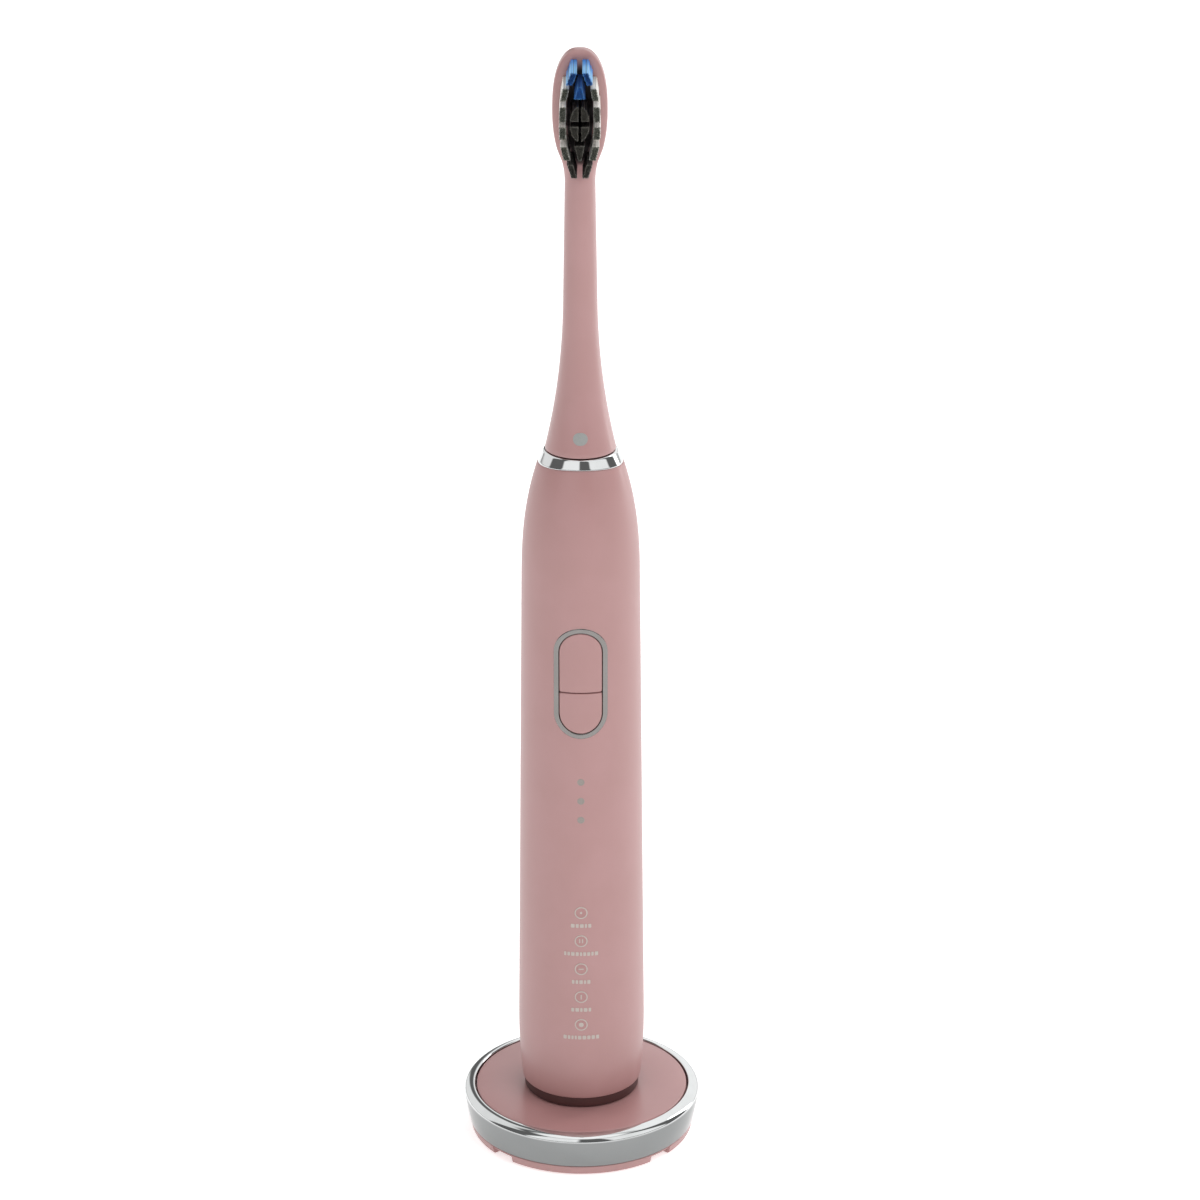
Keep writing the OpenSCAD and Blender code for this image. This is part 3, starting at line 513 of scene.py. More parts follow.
def group(name, grids, material):
    """One mesh of several separate pieces, each a grid with poles at both ends."""
    points, faces = [], []
    for grid in grids:
        start = sum(len(p) for p in points)
        points.append(np.vstack([grid.reshape(-1, 3), grid[0].mean(0), grid[-1].mean(0)]))
        faces += [[v + start for v in f] for f in grid_faces(*grid.shape[:2], "poles")]
    return make_object(name, np.vstack(points), faces, material)


def settle(piece, body, slot, *nodes):
    """The piece rides on a body and stands for CAD nodes. slot is not used."""
    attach(piece, body)
    if nodes:
        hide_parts(*nodes)
    return piece


# %% [markdown]
# ## Turned pieces
# Caps, rings, plates and feet are round, so each is an outline carried round the axis. The
# outline is a short list of corners, each with its own rounding: real mouldings never have a
# knife edge, and the small round catches the light that makes an edge visible. A Bevel
# modifier could round them as well, but only all alike.

# %% Rounded outlines and turning
def rounded(corners, closed):
    """Replaces each corner (r, z, radius) by points on the curve p(t) = (1-t)^2 a + 2t(1-t) c
    + t^2 b, which leaves one side at a and meets the other at b, radius away from corner c."""
    corners = np.asarray(corners, float)
    spots = corners[:, :2]
    out = []
    for i, (r, z, radius) in enumerate(corners):
        at_end = not closed and i in (0, len(corners) - 1)
        if radius == 0 or at_end:
            out.append([(r, z)])
            continue
        before = spots[i - 1] - spots[i]
        after = spots[(i + 1) % len(spots)] - spots[i]
        a = spots[i] + before * min(0.5, radius / np.hypot(*before))
        b = spots[i] + after * min(0.5, radius / np.hypot(*after))
        t = np.linspace(0, 1, 5)[:, None]
        out.append((1 - t) ** 2 * a + 2 * t * (1 - t) * spots[i] + t ** 2 * b)
    return np.vstack(out)


def turn(outline, cols=160):
    """Points (r cos a, r sin a, z) for every outline point and every angle a round +Z."""
    angle = np.linspace(0, tau, cols, endpoint=False)
    r, z = outline[:, :1], outline[:, 1:]
    return np.stack([r * np.cos(angle), r * np.sin(angle), z + 0 * angle], -1)


def turned(name, corners, material, closed=False, cols=160):
    """A turned piece from corners in millimetres: (radius, height, rounding)."""
    outline = rounded(np.asarray(corners) * MM, closed)
    return skin(name, turn(outline, cols), material, "joined" if closed else "poles")


# %% [markdown]
# ## Charger
# The charger is a low puck: a pink foot ring with four notches for the lead, a chrome band
# that leans out and rolls over at the top, and a pink plate set in it with a thin dark groove.
# The foot ring's notches could be cut with a Boolean. Here its lower edge is a function of the
# angle, which leaves clean faces.

# %% Charger sizes
def size_mm(node):
    """(lowest, highest) corner of a CAD node, in millimetres."""
    low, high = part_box(node)
    return np.array(low) / MM, np.array(high) / MM


trim_low, trim_high = size_mm("charger_trim_ring")
base_low, base_high = size_mm("charger_base")
plate_low, plate_high = size_mm("charger_top_plate")
TRIM_R = trim_high[0]
PLATE_R = plate_high[0]
TRIM_TOP = trim_high[2]
PLATE_Z = TRIM_TOP - 0.1
PEG_Z = plate_high[2]
PEG_R = 4.4
GROOVE = 0.3
TRIM_IN_R = PLATE_R + GROOVE
RIM_R = 25.2
RIM_Z = trim_low[2] - 0.1
NOTCH_W = 5.9
NOTCH_Z = base_low[2] + 1.2
WALL_OUT_R = TRIM_IN_R - 0.05
WALL_IN_R = WALL_OUT_R - 1.2
print("charger: chrome", round(2 * TRIM_R, 1), "mm across, plate at", round(PLATE_Z, 2))


# %% Foot ring with notches
def charger_base():
    """A turned outline whose lowest points rise by the notch's height wherever the angle is
    within half a notch of a 45 degree corner."""
    skirt_r = RIM_R - 3.4
    half = asin(NOTCH_W / 2 / RIM_R)
    corner = radians(45) + np.arange(4) * pi / 2
    flank = np.concatenate([corner - half, corner + half])
    step = 0.0012
    even = np.linspace(0, tau, 144, endpoint=False)
    even = even[np.abs(even[:, None] - flank[None]).min(1) > 0.01]
    angle = np.sort(np.concatenate([even, flank - step, flank + step]))
    away = np.abs((angle[:, None] - corner[None] + pi) % tau - pi).min(1)
    lift = np.where(away < half, NOTCH_Z - base_low[2], 0.0)
    foot = base_low[2]
    floor_z, floor_top = 1.2, 2.6
    wall_top = base_high[2]
    rows = [(skirt_r * 0.5, floor_z, 0), (skirt_r - 0.2, floor_z, 0), (skirt_r, foot, 1),
            (RIM_R - 0.45, foot, 1), (RIM_R - 0.15, foot + 0.1, 1), (RIM_R, foot + 0.4, 1),
            (TRIM_R - 1.35, RIM_Z - 0.12, 0), (TRIM_R - 1.45, RIM_Z, 0), (WALL_OUT_R, RIM_Z, 0),
            (WALL_OUT_R, wall_top, 0), (WALL_IN_R, wall_top, 0), (WALL_IN_R, floor_top, 0),
            (WALL_IN_R * 0.5, floor_top, 0)]
    rows = np.array(rows)
    r, z, moves = rows[:, :1] * MM, rows[:, 1:2], rows[:, 2:]
    height = np.maximum(z + lift * moves, np.where(moves > 0, -9, z)) * MM
    grid = np.stack([r * np.cos(angle), r * np.sin(angle), height + 0 * angle], -1)
    return skin("foot_ring", grid, pink_coat, "poles", 30)


settle(charger_base(), "charger", "pink_soft_touch", "charger_base")
print("foot ring with 4 notches")


# %% Chrome band, plate and feet
def trim_ring():
    """Leaning side, a quarter of an ellipse 2.4 mm wide and 1.5 mm high at the shoulder, then
    a dip to the groove."""
    round_w, round_h = 2.4, 1.5
    a = np.linspace(0, pi / 2, 22)
    shoulder = np.stack([TRIM_R - round_w * (1 - np.cos(a)),
                         TRIM_TOP - round_h + round_h * np.sin(a), 0 * a], 1)
    low_r = TRIM_R - 1.2
    low_z = trim_low[2]
    corners = [(TRIM_IN_R, low_z, 0.2), (low_r, low_z, 0.3), *shoulder,
               (TRIM_IN_R + 0.06, PLATE_Z - 0.05, 0.1), (TRIM_IN_R, PLATE_Z - 0.5, 0.2)]
    return turned("chrome_band", corners, band_chrome_painted_reflection, closed=True, cols=224)


settle(trim_ring(), "charger", "polished_chrome", "charger_trim_ring")
PLATE_BACK = PLATE_Z - 1.6
settle(turned("top_plate", [
    (PLATE_R * 0.5, PLATE_BACK, 0), (PLATE_R, PLATE_BACK, 0.2), (PLATE_R, PLATE_Z, 0.45),
    (PLATE_R - 6, PLATE_Z, 0), (PEG_R + 0.5, PLATE_Z, 0.3), (PEG_R, PLATE_Z + 0.4, 0.3),
    (PEG_R, PEG_Z - 0.2, 0), (PEG_R, PEG_Z, 1.1), (1.2, PEG_Z, 0)], plate_coat, cols=192),
    "charger", "pink_soft_touch", "charger_top_plate")


def feet():
    """Four low domed discs, each a turned outline moved out to its place."""
    radius, out, thick = 4.0, 16.8, 1.5
    outline = rounded(np.array([(radius * 0.5, 0, 0), (radius, 0, 0.3), (radius, thick, 0.1),
                                (radius * 0.5, thick, 0)]) * MM, False)
    quarters = np.arange(4) * pi / 2
    places = np.stack([np.cos(quarters), np.sin(quarters), 0 * quarters], 1) * out * MM
    return group("rubber_feet", turn(outline, 48) + places[:, None, None], black_rubber)


settle(feet(), "charger", "black_rubber", "charger_feet")


def gland():
    """The lead's bush: an outline turned about the line that runs out through the back."""
    low, high = size_mm("cord_gland")
    bore, tube = 1.7, 2.4
    flange = (high[0] - low[0]) / 2
    middle_z = (low[2] + high[2]) / 2
    corners = [(bore, low[1], 0.1), (flange, low[1], 0.15), (flange, low[1] + 0.9, 0.1),
               (tube, low[1] + 0.9, 0), (tube, high[1], 0.25), (bore, high[1], 0.35)]
    grid = turn(rounded(np.array(corners) * MM, True), 64)
    x, y, z = grid[..., 0], grid[..., 1], grid[..., 2]
    return skin("lead_bush", np.stack([x, z, middle_z * MM - y], -1), black_rubber, "joined")


settle(gland(), "charger", "black_rubber", "cord_gland")
print("chrome band, plate, 4 feet and the lead's bush")

# %% [markdown]
# ## The handle's surface
# The casing's outside is one curve turned about the axis: it curves in at the foot, tapers
# slightly, and rounds in at the shoulder to the neck. It could be a drawn curve with a Screw
# modifier, but keys, bezel and marks all follow this surface, so the radius is a function of
# height that they share.

# %% The handle's curve
shell_low, shell_high = size_mm("handle_shell")
ring_low, ring_high = size_mm("neck_trim_ring")
cap_low, cap_high = size_mm("bottom_cap")
SHELL_Z, SHELL_TOP = shell_low[2], shell_high[2]
NECK_RING_R = 8.0
WIDE_R = shell_high[0]
LOW_R = cap_high[0] + 0.45
TOP_R = ring_high[0]
HIGH_R = 12.95
FOOT_H, SHOULDER_H = 16.0, 26.0
FOOT_POWER, SHOULDER_POWER = 2.2, 2.4
WALL = 1.6


def handle_r(z):
    """Radius at height z in mm: wide - (wide - low) ((wide_z - z) / foot)^2.2 at the foot, a
    straight taper above, less drop ((z - shoulder_z) / shoulder)^2.4 in the shoulder."""
    z = np.asarray(z, float)
    wide_z, shoulder_z = SHELL_Z + FOOT_H, SHELL_TOP - SHOULDER_H
    slope = (HIGH_R - WIDE_R) / (shoulder_z - wide_z)
    taper = WIDE_R + slope * np.maximum(z - wide_z, 0)
    foot = (WIDE_R - LOW_R) * (np.clip(wide_z - z, 0, FOOT_H) / FOOT_H) ** FOOT_POWER
    drop = WIDE_R + slope * (SHELL_TOP - wide_z) - TOP_R
    rise = np.clip((z - shoulder_z) / SHOULDER_H, 0, 1) ** SHOULDER_POWER
    return taper - foot - drop * rise


def on_handle(x, z, lift=0.0):
    """The point straight in front of (x, z) on the handle, raised by lift: its depth is
    -sqrt((radius + lift)^2 - x^2). Millimetres in, metres out."""
    y = -np.sqrt((handle_r(z) + lift) ** 2 - np.asarray(x) ** 2)
    return np.stack([x + 0 * y, y, z + 0 * y], -1) * MM


print("handle radius at foot, widest and neck:",
      [round(float(handle_r(z)), 2) for z in (SHELL_Z, SHELL_Z + FOOT_H, SHELL_TOP)])

# %% [markdown]
# ## The casing
# The casing is a grid whose columns are straight strips at the front and even angles round the
# back. The window for the keys could be cut with a Boolean, but that would dent the shine round
# it. Instead a rectangle of cells is left out, and rows of points close in from it to the
# window's round-ended outline. Solidify then gives the wall its thickness, inwards.

# %% Casing with its window
bezel_low, bezel_high = size_mm("button_bezel")
BEZEL_W = (bezel_high[0] - bezel_low[0]) / 2
BEZEL_Z, BEZEL_TOP = bezel_low[2], bezel_high[2]
BAND = 1.15
WINDOW_W = BEZEL_W - BAND
SLOT_LOW, SLOT_HIGH = BEZEL_Z + BEZEL_W, BEZEL_TOP - BEZEL_W


def surface_r(z):
    """Radius of the casing, carried on above it by the neck ring's cone."""
    cone = TOP_R + (NECK_RING_R - TOP_R) * (z - SHELL_TOP) / (ring_high[2] - SHELL_TOP)
    return np.where(z < SHELL_TOP, handle_r(z), cone)


def lift_top(grid, blend=6.0):
    """The edge between casing and ring rises in front and behind and dips at the sides: a
    point moves up by 0.15 + 0.38 cos(2 bearing), less and less over blend mm below."""
    x, y, z = grid[..., 0], grid[..., 1], grid[..., 2]
    share = np.clip((z - (SHELL_TOP - blend)) / blend, 0, 1) ** 2
    new_z = z + (0.15 + 0.38 * np.cos(2 * np.arctan2(x, -y))) * share
    scale = 1 + (surface_r(new_z) - surface_r(z)) / np.maximum(np.hypot(x, y), 1)
    return np.stack([x * scale, y * scale, new_z], -1)


def handle_shell():
    """Rows at chosen heights, with a quarter round of 0.35 mm at both rims. Around the window,
    point k of ring t lies at (1 - t) P + t Q, where P is on the cell rectangle and Q is the
    nearest point of the window's outline."""
    edge, margin = 0.35, 2.5
    below, above = BEZEL_Z - margin, BEZEL_TOP + margin
    turned_by = pi / 2 * np.arange(4) / 4
    rim_z, rim_in = edge * (1 - np.cos(turned_by)), edge * (1 - np.sin(turned_by))
    body_z = np.concatenate([
        np.linspace(SHELL_Z + edge, SHELL_Z + FOOT_H, 14),
        np.linspace(SHELL_Z + FOOT_H, below, 26)[1:], np.linspace(below, above, 21)[1:],
        np.linspace(above, SHELL_TOP - edge, 30)[1:]])
    rows_z = np.concatenate([SHELL_Z + rim_z, body_z, SHELL_TOP - rim_z[::-1]])
    shrink = np.concatenate([rim_in, 0 * body_z, rim_in[::-1]])
    radius = (handle_r(rows_z) - shrink)[:, None]
    strip, hole_w = 8.2, 7.0
    x = np.concatenate([[-strip, -7.6], np.linspace(-hole_w, hole_w, 15), [7.6, strip]])
    start = np.arcsin(strip / radius)
    share = np.linspace(0, 1, 90)[1:-1]
    angle = start + (tau - 2 * start) * share
    front = np.stack([x + 0 * radius, -np.sqrt(radius ** 2 - x ** 2)], -1)
    back = np.stack([radius * np.sin(angle), -radius * np.cos(angle)], -1)
    flat = np.concatenate([front, back], 1)
    grid = np.concatenate([flat, np.broadcast_to(rows_z[:, None, None], (*flat.shape[:2], 1))], -1)
    grid = lift_top(grid)
    rows, cols, _ = grid.shape
    index = np.arange(rows * cols).reshape(rows, cols)
    i0, i1 = (int(np.argmin(np.abs(rows_z - z))) for z in (below, above))
    j0, j1 = 2, 16
    keep = np.ones((rows - 1, cols), bool)
    keep[i0:i1, j0:j1] = False
    loop = np.concatenate([index[i0, j0:j1], index[i0:i1, j1], index[i1, j1:j0:-1],
                           index[i1:i0:-1, j0]])
    rim = grid.reshape(-1, 3)[loop][:, [0, 2]]
    centre = np.stack([0 * rim[:, 0], np.clip(rim[:, 1], SLOT_LOW, SLOT_HIGH)], 1)
    way = (rim - centre) / np.hypot(*(rim - centre).T)[:, None]
    outline = centre + (WINDOW_W + 0.6) * way
    points, faces, last = [grid.reshape(-1, 3) * MM], cells(index)[keep].tolist(), loop
    for t in (0.3, 0.6, 0.85, 1.0):
        ring = rim + (outline - rim) * t
        points.append(on_handle(ring[:, 0], ring[:, 1]))
        new = np.arange(len(loop)) + sum(len(p) for p in points[:-1])
        faces += cells(np.stack([last, new]))[0].tolist()
        last = new
    piece = make_object("casing", np.vstack(points), faces, pink_coat, 40)
    wall = piece.modifiers.new("wall", "SOLIDIFY")
    wall.thickness = WALL * MM
    wall.offset = -1
    return piece


settle(handle_shell(), "handle", "pink_soft_touch", "handle_shell")
print("casing with a window", round(2 * WINDOW_W, 2), "mm wide")

# %% [markdown]
# ## The cap, the neck ring and the seal
# A dark cap closes the foot and carries the recess that goes over the charger's peg. At the
# neck a bright ring slopes in to the brush head, and a ribbed rubber seal lies inside it. All
# three are turned, and the ring's lower edge is then bent to meet the casing's curved top.

# %% Cap, neck ring and seal
def foot_cap():
    """A flange below the casing, a plug wall inside it, and a cup over the charger's peg."""
    recess_r, recess_top, cup_wall = 4.75, PEG_Z + 1.0, 1.2
    plug_r, plug_wall, plug_top = 12.05, 2.0, SHELL_Z + 5
    foot, seat, floor = cap_low[2], SHELL_Z - 0.05, cap_low[2] + 1.4
    cup_r, cup_top = recess_r + cup_wall, recess_top + cup_wall
    return turned("foot_cap", [
        (recess_r * 0.5, recess_top, 0), (recess_r, recess_top, 0.5), (recess_r, foot, 0.4),
        (cap_high[0], foot, 0.35), (cap_high[0], seat, 0.05), (plug_r, seat, 0),
        (plug_r, plug_top, 0.2), (plug_r - plug_wall, plug_top, 0.1),
        (plug_r - plug_wall, floor, 0.2), (cup_r, floor, 0.2), (cup_r, cup_top, 0.3),
        (recess_r * 0.5, cup_top, 0)], dark_cap_painted_shade, cols=144)


# The cap is set in from the casing, and its dark colour is painted shade at the handle's foot
settle(foot_cap(), "handle", "dark_rose_plastic", "bottom_cap")


def neck_ring():
    """A turned outline whose lower outside edge follows the casing's curved top."""
    outline = rounded([
        (6.3, ring_low[2], 0.1), (7.6, ring_low[2], 0.1), (7.6, SHELL_TOP + 0.02, 0),
        (TOP_R - 0.08, SHELL_TOP + 0.02, 0.06), (TOP_R - 0.14, SHELL_TOP + 0.3, 0.22),
        (NECK_RING_R, ring_high[2] - 0.1, 0.35), (NECK_RING_R - 0.5, ring_high[2], 0.25),
        (6.5, ring_high[2], 0.15), (6.3, ring_high[2] - 0.3, 0.15)], True)
    grid = turn(outline, 192)
    low_edge = (outline[:, 1] > SHELL_TOP) & (outline[:, 1] < SHELL_TOP + 0.6)
    grid[low_edge] = lift_top(grid)[low_edge]
    return skin("neck_ring", grid * MM, chrome, "joined")


settle(neck_ring(), "handle", "polished_chrome", "neck_trim_ring")


def seal_outline():
    """A cone from the bore up to the shaft with three soft ribs: radius - 0.3 sin^2."""
    low, high = size_mm("shaft_seal")
    inner = 1.95
    base = [(inner, low[2]), (high[0] - 0.02, low[2]), (high[0] - 0.02, SHELL_TOP - 0.5)]
    t = np.linspace(0.04, 1, 28)
    r = (high[0] - 0.1) + (inner + 1.3 - high[0]) * t ** 0.8
    ribs = -0.3 * np.sin(3 * pi * t) ** 2
    cone = np.stack([r + ribs, SHELL_TOP - 0.4 + (high[2] - SHELL_TOP + 0.3) * t], 1)
    return np.vstack([base, cone, [(inner, high[2])]]) * MM


settle(skin("shaft_seal_boot", turn(seal_outline(), 96), black_rubber, "joined"),
       "handle", "black_rubber", "shaft_seal")
print("cap, neck ring and seal")

# %% [markdown]
# ## Keys and bezel
# The two keys share one round-ended window, split by a fine line. Each is a pad: an outline,
# a wall that goes down into the window, a tiny rounded edge, and rings that close in to the
# middle. Flat pads could be wrapped on with Shrinkwrap, but the handle's curve is a formula, so
# each point is put on it directly, and the keys are flush with the casing.

# %% Pads and bands that follow the handle
def even_loop(loop, count):
    """count points spaced evenly along a closed outline."""
    closed = np.vstack([loop, loop[:1]])
    along = np.concatenate([[0], np.cumsum(np.hypot(*np.diff(closed, axis=0).T))])
    at = np.linspace(0, along[-1], count, endpoint=False)
    return np.stack([np.interp(at, along, closed[:, k]) for k in (0, 1)], 1)


def inward(loop, distance):
    """Each point moved along the inward normal, at right angles to its two neighbours."""
    along = np.roll(loop, -1, 0) - np.roll(loop, 1, 0)
    normal = np.stack([-along[:, 1], along[:, 0]], 1) / np.hypot(*along.T)[:, None]
    return loop + normal * distance


def pad_grid(loop, top, depth, edge, place=on_handle):
    """Rows of a pad: back face, wall, quarter round of radius edge, and shrinking rings on the
    front. place(x, z, lift) lays the outline on a surface."""
    middle = loop.mean(0)
    rows = [place(*(middle + (loop - middle) * s).T, top - depth) for s in (0.3, 0.65, 1.0)]
    rows.append(place(*loop.T, top - edge))
    for a in np.linspace(0, pi / 2, 5)[1:]:
        rows.append(place(*inward(loop, edge * (1 - cos(a))).T, top - edge + edge * sin(a)))
    inner = inward(loop, edge * 1.15)
    rows += [place(*(middle + (inner - middle) * s).T, top) for s in (1, 0.8, 0.6, 0.4, 0.2)]
    return np.stack(rows)


def arc(x, z, radius, start, end, count):
    a = np.radians(np.linspace(start, end, count))
    return np.stack([x + radius * np.cos(a), z + radius * np.sin(a)], 1)


def slot_loop(radius, low, high, count=24):
    """A round-ended outline, anticlockwise: two half circles about low and high."""
    return np.vstack([arc(0, high, radius, 0, 180, count), arc(0, low, radius, 180, 360, count)])


def band(name, profile, low, high, material, count=160):
    """A ring round a slot: the profile (distance from the slot's centre line, lift) carried
    round it, one row for each profile point."""
    rows = [on_handle(*even_loop(slot_loop(d, low, high, 40), count).T, lift)
            for d, lift in profile]
    return skin(name, np.stack(rows), material, "joined", 40)


def key(name, body, node, up):
    """One end of the window: its outline is the node's own box with one end round, the upper
    end where up is 1 and the lower where it is -1."""
    low, high = size_mm(node)
    radius, corner, thick, edge = high[0], 0.35, 1.28, 0.16
    flat_z, round_z = (low[2], high[2]) if up > 0 else (high[2], low[2])
    start = 90 - 90 * up
    curve = arc(0, round_z - up * radius, radius, start, start + 180, 40)
    side = up * radius
    flat = [(-side, flat_z + up * corner, 0), (-side, flat_z, corner),
            (side, flat_z, corner), (side, flat_z + up * corner, 0)]
    loop = even_loop(np.vstack([curve, rounded(flat, False)]), 120)
    piece = skin(name, pad_grid(loop, 0.06, thick, edge), pink_coat, "poles", 40)
    settle(piece, body, "pink_soft_touch", node)


key("upper_key", "power_button", "power_key", 1)
key("lower_key", "mode_button", "mode_key", -1)
bezel = band("key_bezel", [
    (BEZEL_W, -0.6), (BEZEL_W, -0.05), (BEZEL_W - 0.04, 0.03), (BEZEL_W - 0.13, 0.09),
    (BEZEL_W - 0.25, 0.1), (WINDOW_W + 0.2, 0.1), (WINDOW_W + 0.09, 0.08),
    (WINDOW_W + 0.02, 0.0), (WINDOW_W, -0.1), (WINDOW_W, -WALL), (WINDOW_W + 0.58, -WALL),
    (WINDOW_W + 0.58, -0.6)], SLOT_LOW, SLOT_HIGH, satin)
settle(bezel, "handle", "satin_metal", "button_bezel")
print("two keys and their bezel")

# %% [markdown]
# ## Lights and marks
# Three small charge lights lie under the keys, and five mode lights down the front. The marks
# are pad prints: a ring round each mode light with a plain sign in it, and a row of dashes
# below. They could be painted in the coat's colour, but thin raised pads, a few hundredths of a
# millimetre high as ink is, stay sharp from close by.

# %% Lights
def light_spots(name, node, count, material, lift):
    """One domed disc for each light, spread evenly over the node's height."""
    low, high = size_mm(node)
    radius = (high[0] - low[0]) / 2
    heights = np.linspace(low[2] + radius, high[2] - radius, count)
    thick, edge = 1.2, 0.08
    grids = [pad_grid(arc(0, z, radius, 0, 360, 41)[:-1], lift, thick, edge) for z in heights]
    return group(name, grids, material), heights


charge_piece, charge_heights = light_spots("charge_lights", "battery_lenses", 3,
                                           light_window, 0.03)
settle(charge_piece, "handle", "light_pipe", "battery_lenses")
mode_piece, mode_heights = light_spots("mode_lights", "mode_lenses", 5, mode_window, 0.015)
settle(mode_piece, "handle", "mode_mark", "mode_lenses")
print("charge lights at", charge_heights.round(2), "mode lights at", mode_heights.round(2))

# %% Printed marks
INK_LIFT, INK_THICK, INK_EDGE = 0.045, 0.075, 0.015


def ink_band(name, radius, low, high, width):
    """A printed line round a circle or a slot."""
    half = width / 2
    profile = [(half, -0.02), (half, INK_LIFT - 0.01), (half - 0.02, INK_LIFT),
               (0.02 - half, INK_LIFT), (-half, INK_LIFT - 0.01), (-half, -0.02)]
    piece = band(name, [(radius + out, lift) for out, lift in profile], low, high, ink, 64)
    settle(piece, "handle", "satin_metal")


def ink_pad(name, x, z, half_w, half_h, body="handle", place=on_handle, finish=ink):
    """A printed bar with round ends, or a dot where both halves are equal."""
    r = min(half_w, half_h)
    if half_w >= half_h:
        loop = np.vstack([arc(x + half_w - r, z, r, -90, 90, 12),
                          arc(x - half_w + r, z, r, 90, 270, 12)])
    else:
        loop = np.vstack([arc(x, z + half_h - r, r, 0, 180, 12),
                          arc(x, z - half_h + r, r, 180, 360, 12)])
    loop = even_loop(loop, 48)
    grid = pad_grid(loop, INK_LIFT, INK_THICK, INK_EDGE, place)
    settle(skin(name, grid, finish), body, "satin_metal")


def caption(name, z, half_w, seed):
    """A row of short dashes of uneven width, in place of the words."""
    chance = np.random.default_rng(seed)
    half_h, gap, corner = 0.46, 0.26, 0.12
    widths = chance.uniform(0.45, 0.85, int(2 * half_w / (0.65 + gap)))
    ends = np.cumsum(widths + gap) - gap
    up = half_h - corner
    grids = []
    for width, middle in zip(widths, ends - widths / 2 - ends[-1] / 2):
        out = width / 2 - corner
        corners = zip((out, -out, -out, out), (up, up, -up, -up), (0, 90, 180, 270))
        loop = np.vstack([arc(middle + x, z + rise, corner, start, start + 90, 4)
                          for x, rise, start in corners])
        grids.append(pad_grid(even_loop(loop, 20), INK_LIFT, INK_THICK, INK_EDGE))
    settle(group(name, grids, ink), "handle", "satin_metal")


CAPTION_HALF_WIDTHS = (4.2, 2.6, 2.6, 4.3, 2.5)
for i, z in enumerate(mode_heights):
    ink_band(f"mode_ring_{i}", 1.32, z, z, 0.26)
    caption(f"mode_caption_{i}", z - 3.2, CAPTION_HALF_WIDTHS[i], i)
ink_pad("mode_sign_0", 0, mode_heights[0], 0.55, 0.55)
ink_pad("mode_sign_1", 0, mode_heights[1], 0.14, 0.6)
ink_pad("mode_sign_2", 0, mode_heights[2], 0.6, 0.14)
ink_pad("mode_sign_3a", -0.32, mode_heights[3], 0.13, 0.5)
ink_pad("mode_sign_3b", 0.32, mode_heights[3], 0.13, 0.5)
ink_pad("mode_sign_4", 0, mode_heights[4], 0.28, 0.28)
print("five marks with rings, signs and captions")

# %% [markdown]
# ## The brush head
# The neck flares out to the ring below and thins to a round stem, and the stem runs into an
# oval head with a flat face. Two blended pieces would show a seam, so one grid does it all:
# every row is a rounded outline whose width and depth are functions of height. At the stem the
# outline is a circle; at the head it is squarer in front, so that the face is flat, and softer
# behind.

# %% Neck and head
neck_low, neck_high = size_mm("brush_neck")
insert_low, insert_high = size_mm("neck_insert")
NECK_Z, HEAD_TOP = neck_low[2], neck_high[2]
NECK_R = neck_high[0]
STEM_R, STEM_GROW = 3.2, 1.04
FLARE_H, FLARE_POWER = 33.0, 2.1
OVAL_W, OVAL_H, HEAD_T = 11.7, 26.3, 4.4
TOP_POWER, LOW_POWER = 2.45, 2.2
OVAL_Z = HEAD_TOP - OVAL_H / 2
THROAT_Z, THROAT_H = OVAL_Z - OVAL_H / 2 - 2.4, 7.6
STEM_END = OVAL_Z - OVAL_H / 2 + 1


def smooth(value, low, high):
    """0 below low, 1 above high, and t^2 (3 - 2t) between."""
    t = np.clip((value - low) / (high - low), 0, 1)
    return t * t * (3 - 2 * t)


def neck_r(z):
    """Stem radius, growing 1.04 mm towards the foot, plus a flare that rises as a power."""
    stem = STEM_R + STEM_GROW * np.clip((STEM_END - z) / (STEM_END - NECK_Z), 0, 1)
    reach = np.clip((NECK_Z + FLARE_H - z) / FLARE_H, 0, 1)
    return stem + (NECK_R - STEM_R - STEM_GROW) * reach ** FLARE_POWER


def head_half_width(z):
    """Oval: |x|^n + |z|^n = 1, with n 2.45 above its middle and 2.2 below. Throat: from the
    stem out to 0.39 of the oval's width as the power 1.5 of the height. The outline is
    (throat^16 + oval^16)^(1/16)."""
    up = np.clip(np.abs(z - OVAL_Z) / (OVAL_H / 2), 0, 1)
    power = np.where(z > OVAL_Z, TOP_POWER, LOW_POWER)
    oval = OVAL_W / 2 * (1 - up ** power) ** (1 / power)
    reach = np.clip((z - THROAT_Z) / THROAT_H, 0, 1) ** 1.5
    throat = neck_r(z) + (0.39 * OVAL_W - neck_r(z)) * reach
    throat = throat * (1 - smooth(z, OVAL_Z - 5, OVAL_Z))
    return (throat ** 16 + oval ** 16) ** (1 / 16)


def shade_between_tufts(paint):
    """1 inside an ellipse on the front face between the tufts, where the face gets painted shade,
    else 0.
    """
    x, y, z = (paint.axis(number) for number in range(3))
    across, up = x * (1 / (3.0 * MM)), (z - (OVAL_Z - 0.8) * MM) * (1 / (11.0 * MM))
    inside = paint.grade(across * across + up * up, 0.75, 1.05, 1, 0)
    return inside * paint.grade(y, (0.5 - HEAD_T / 2) * MM, (0.9 - HEAD_T / 2) * MM, 1, 0)


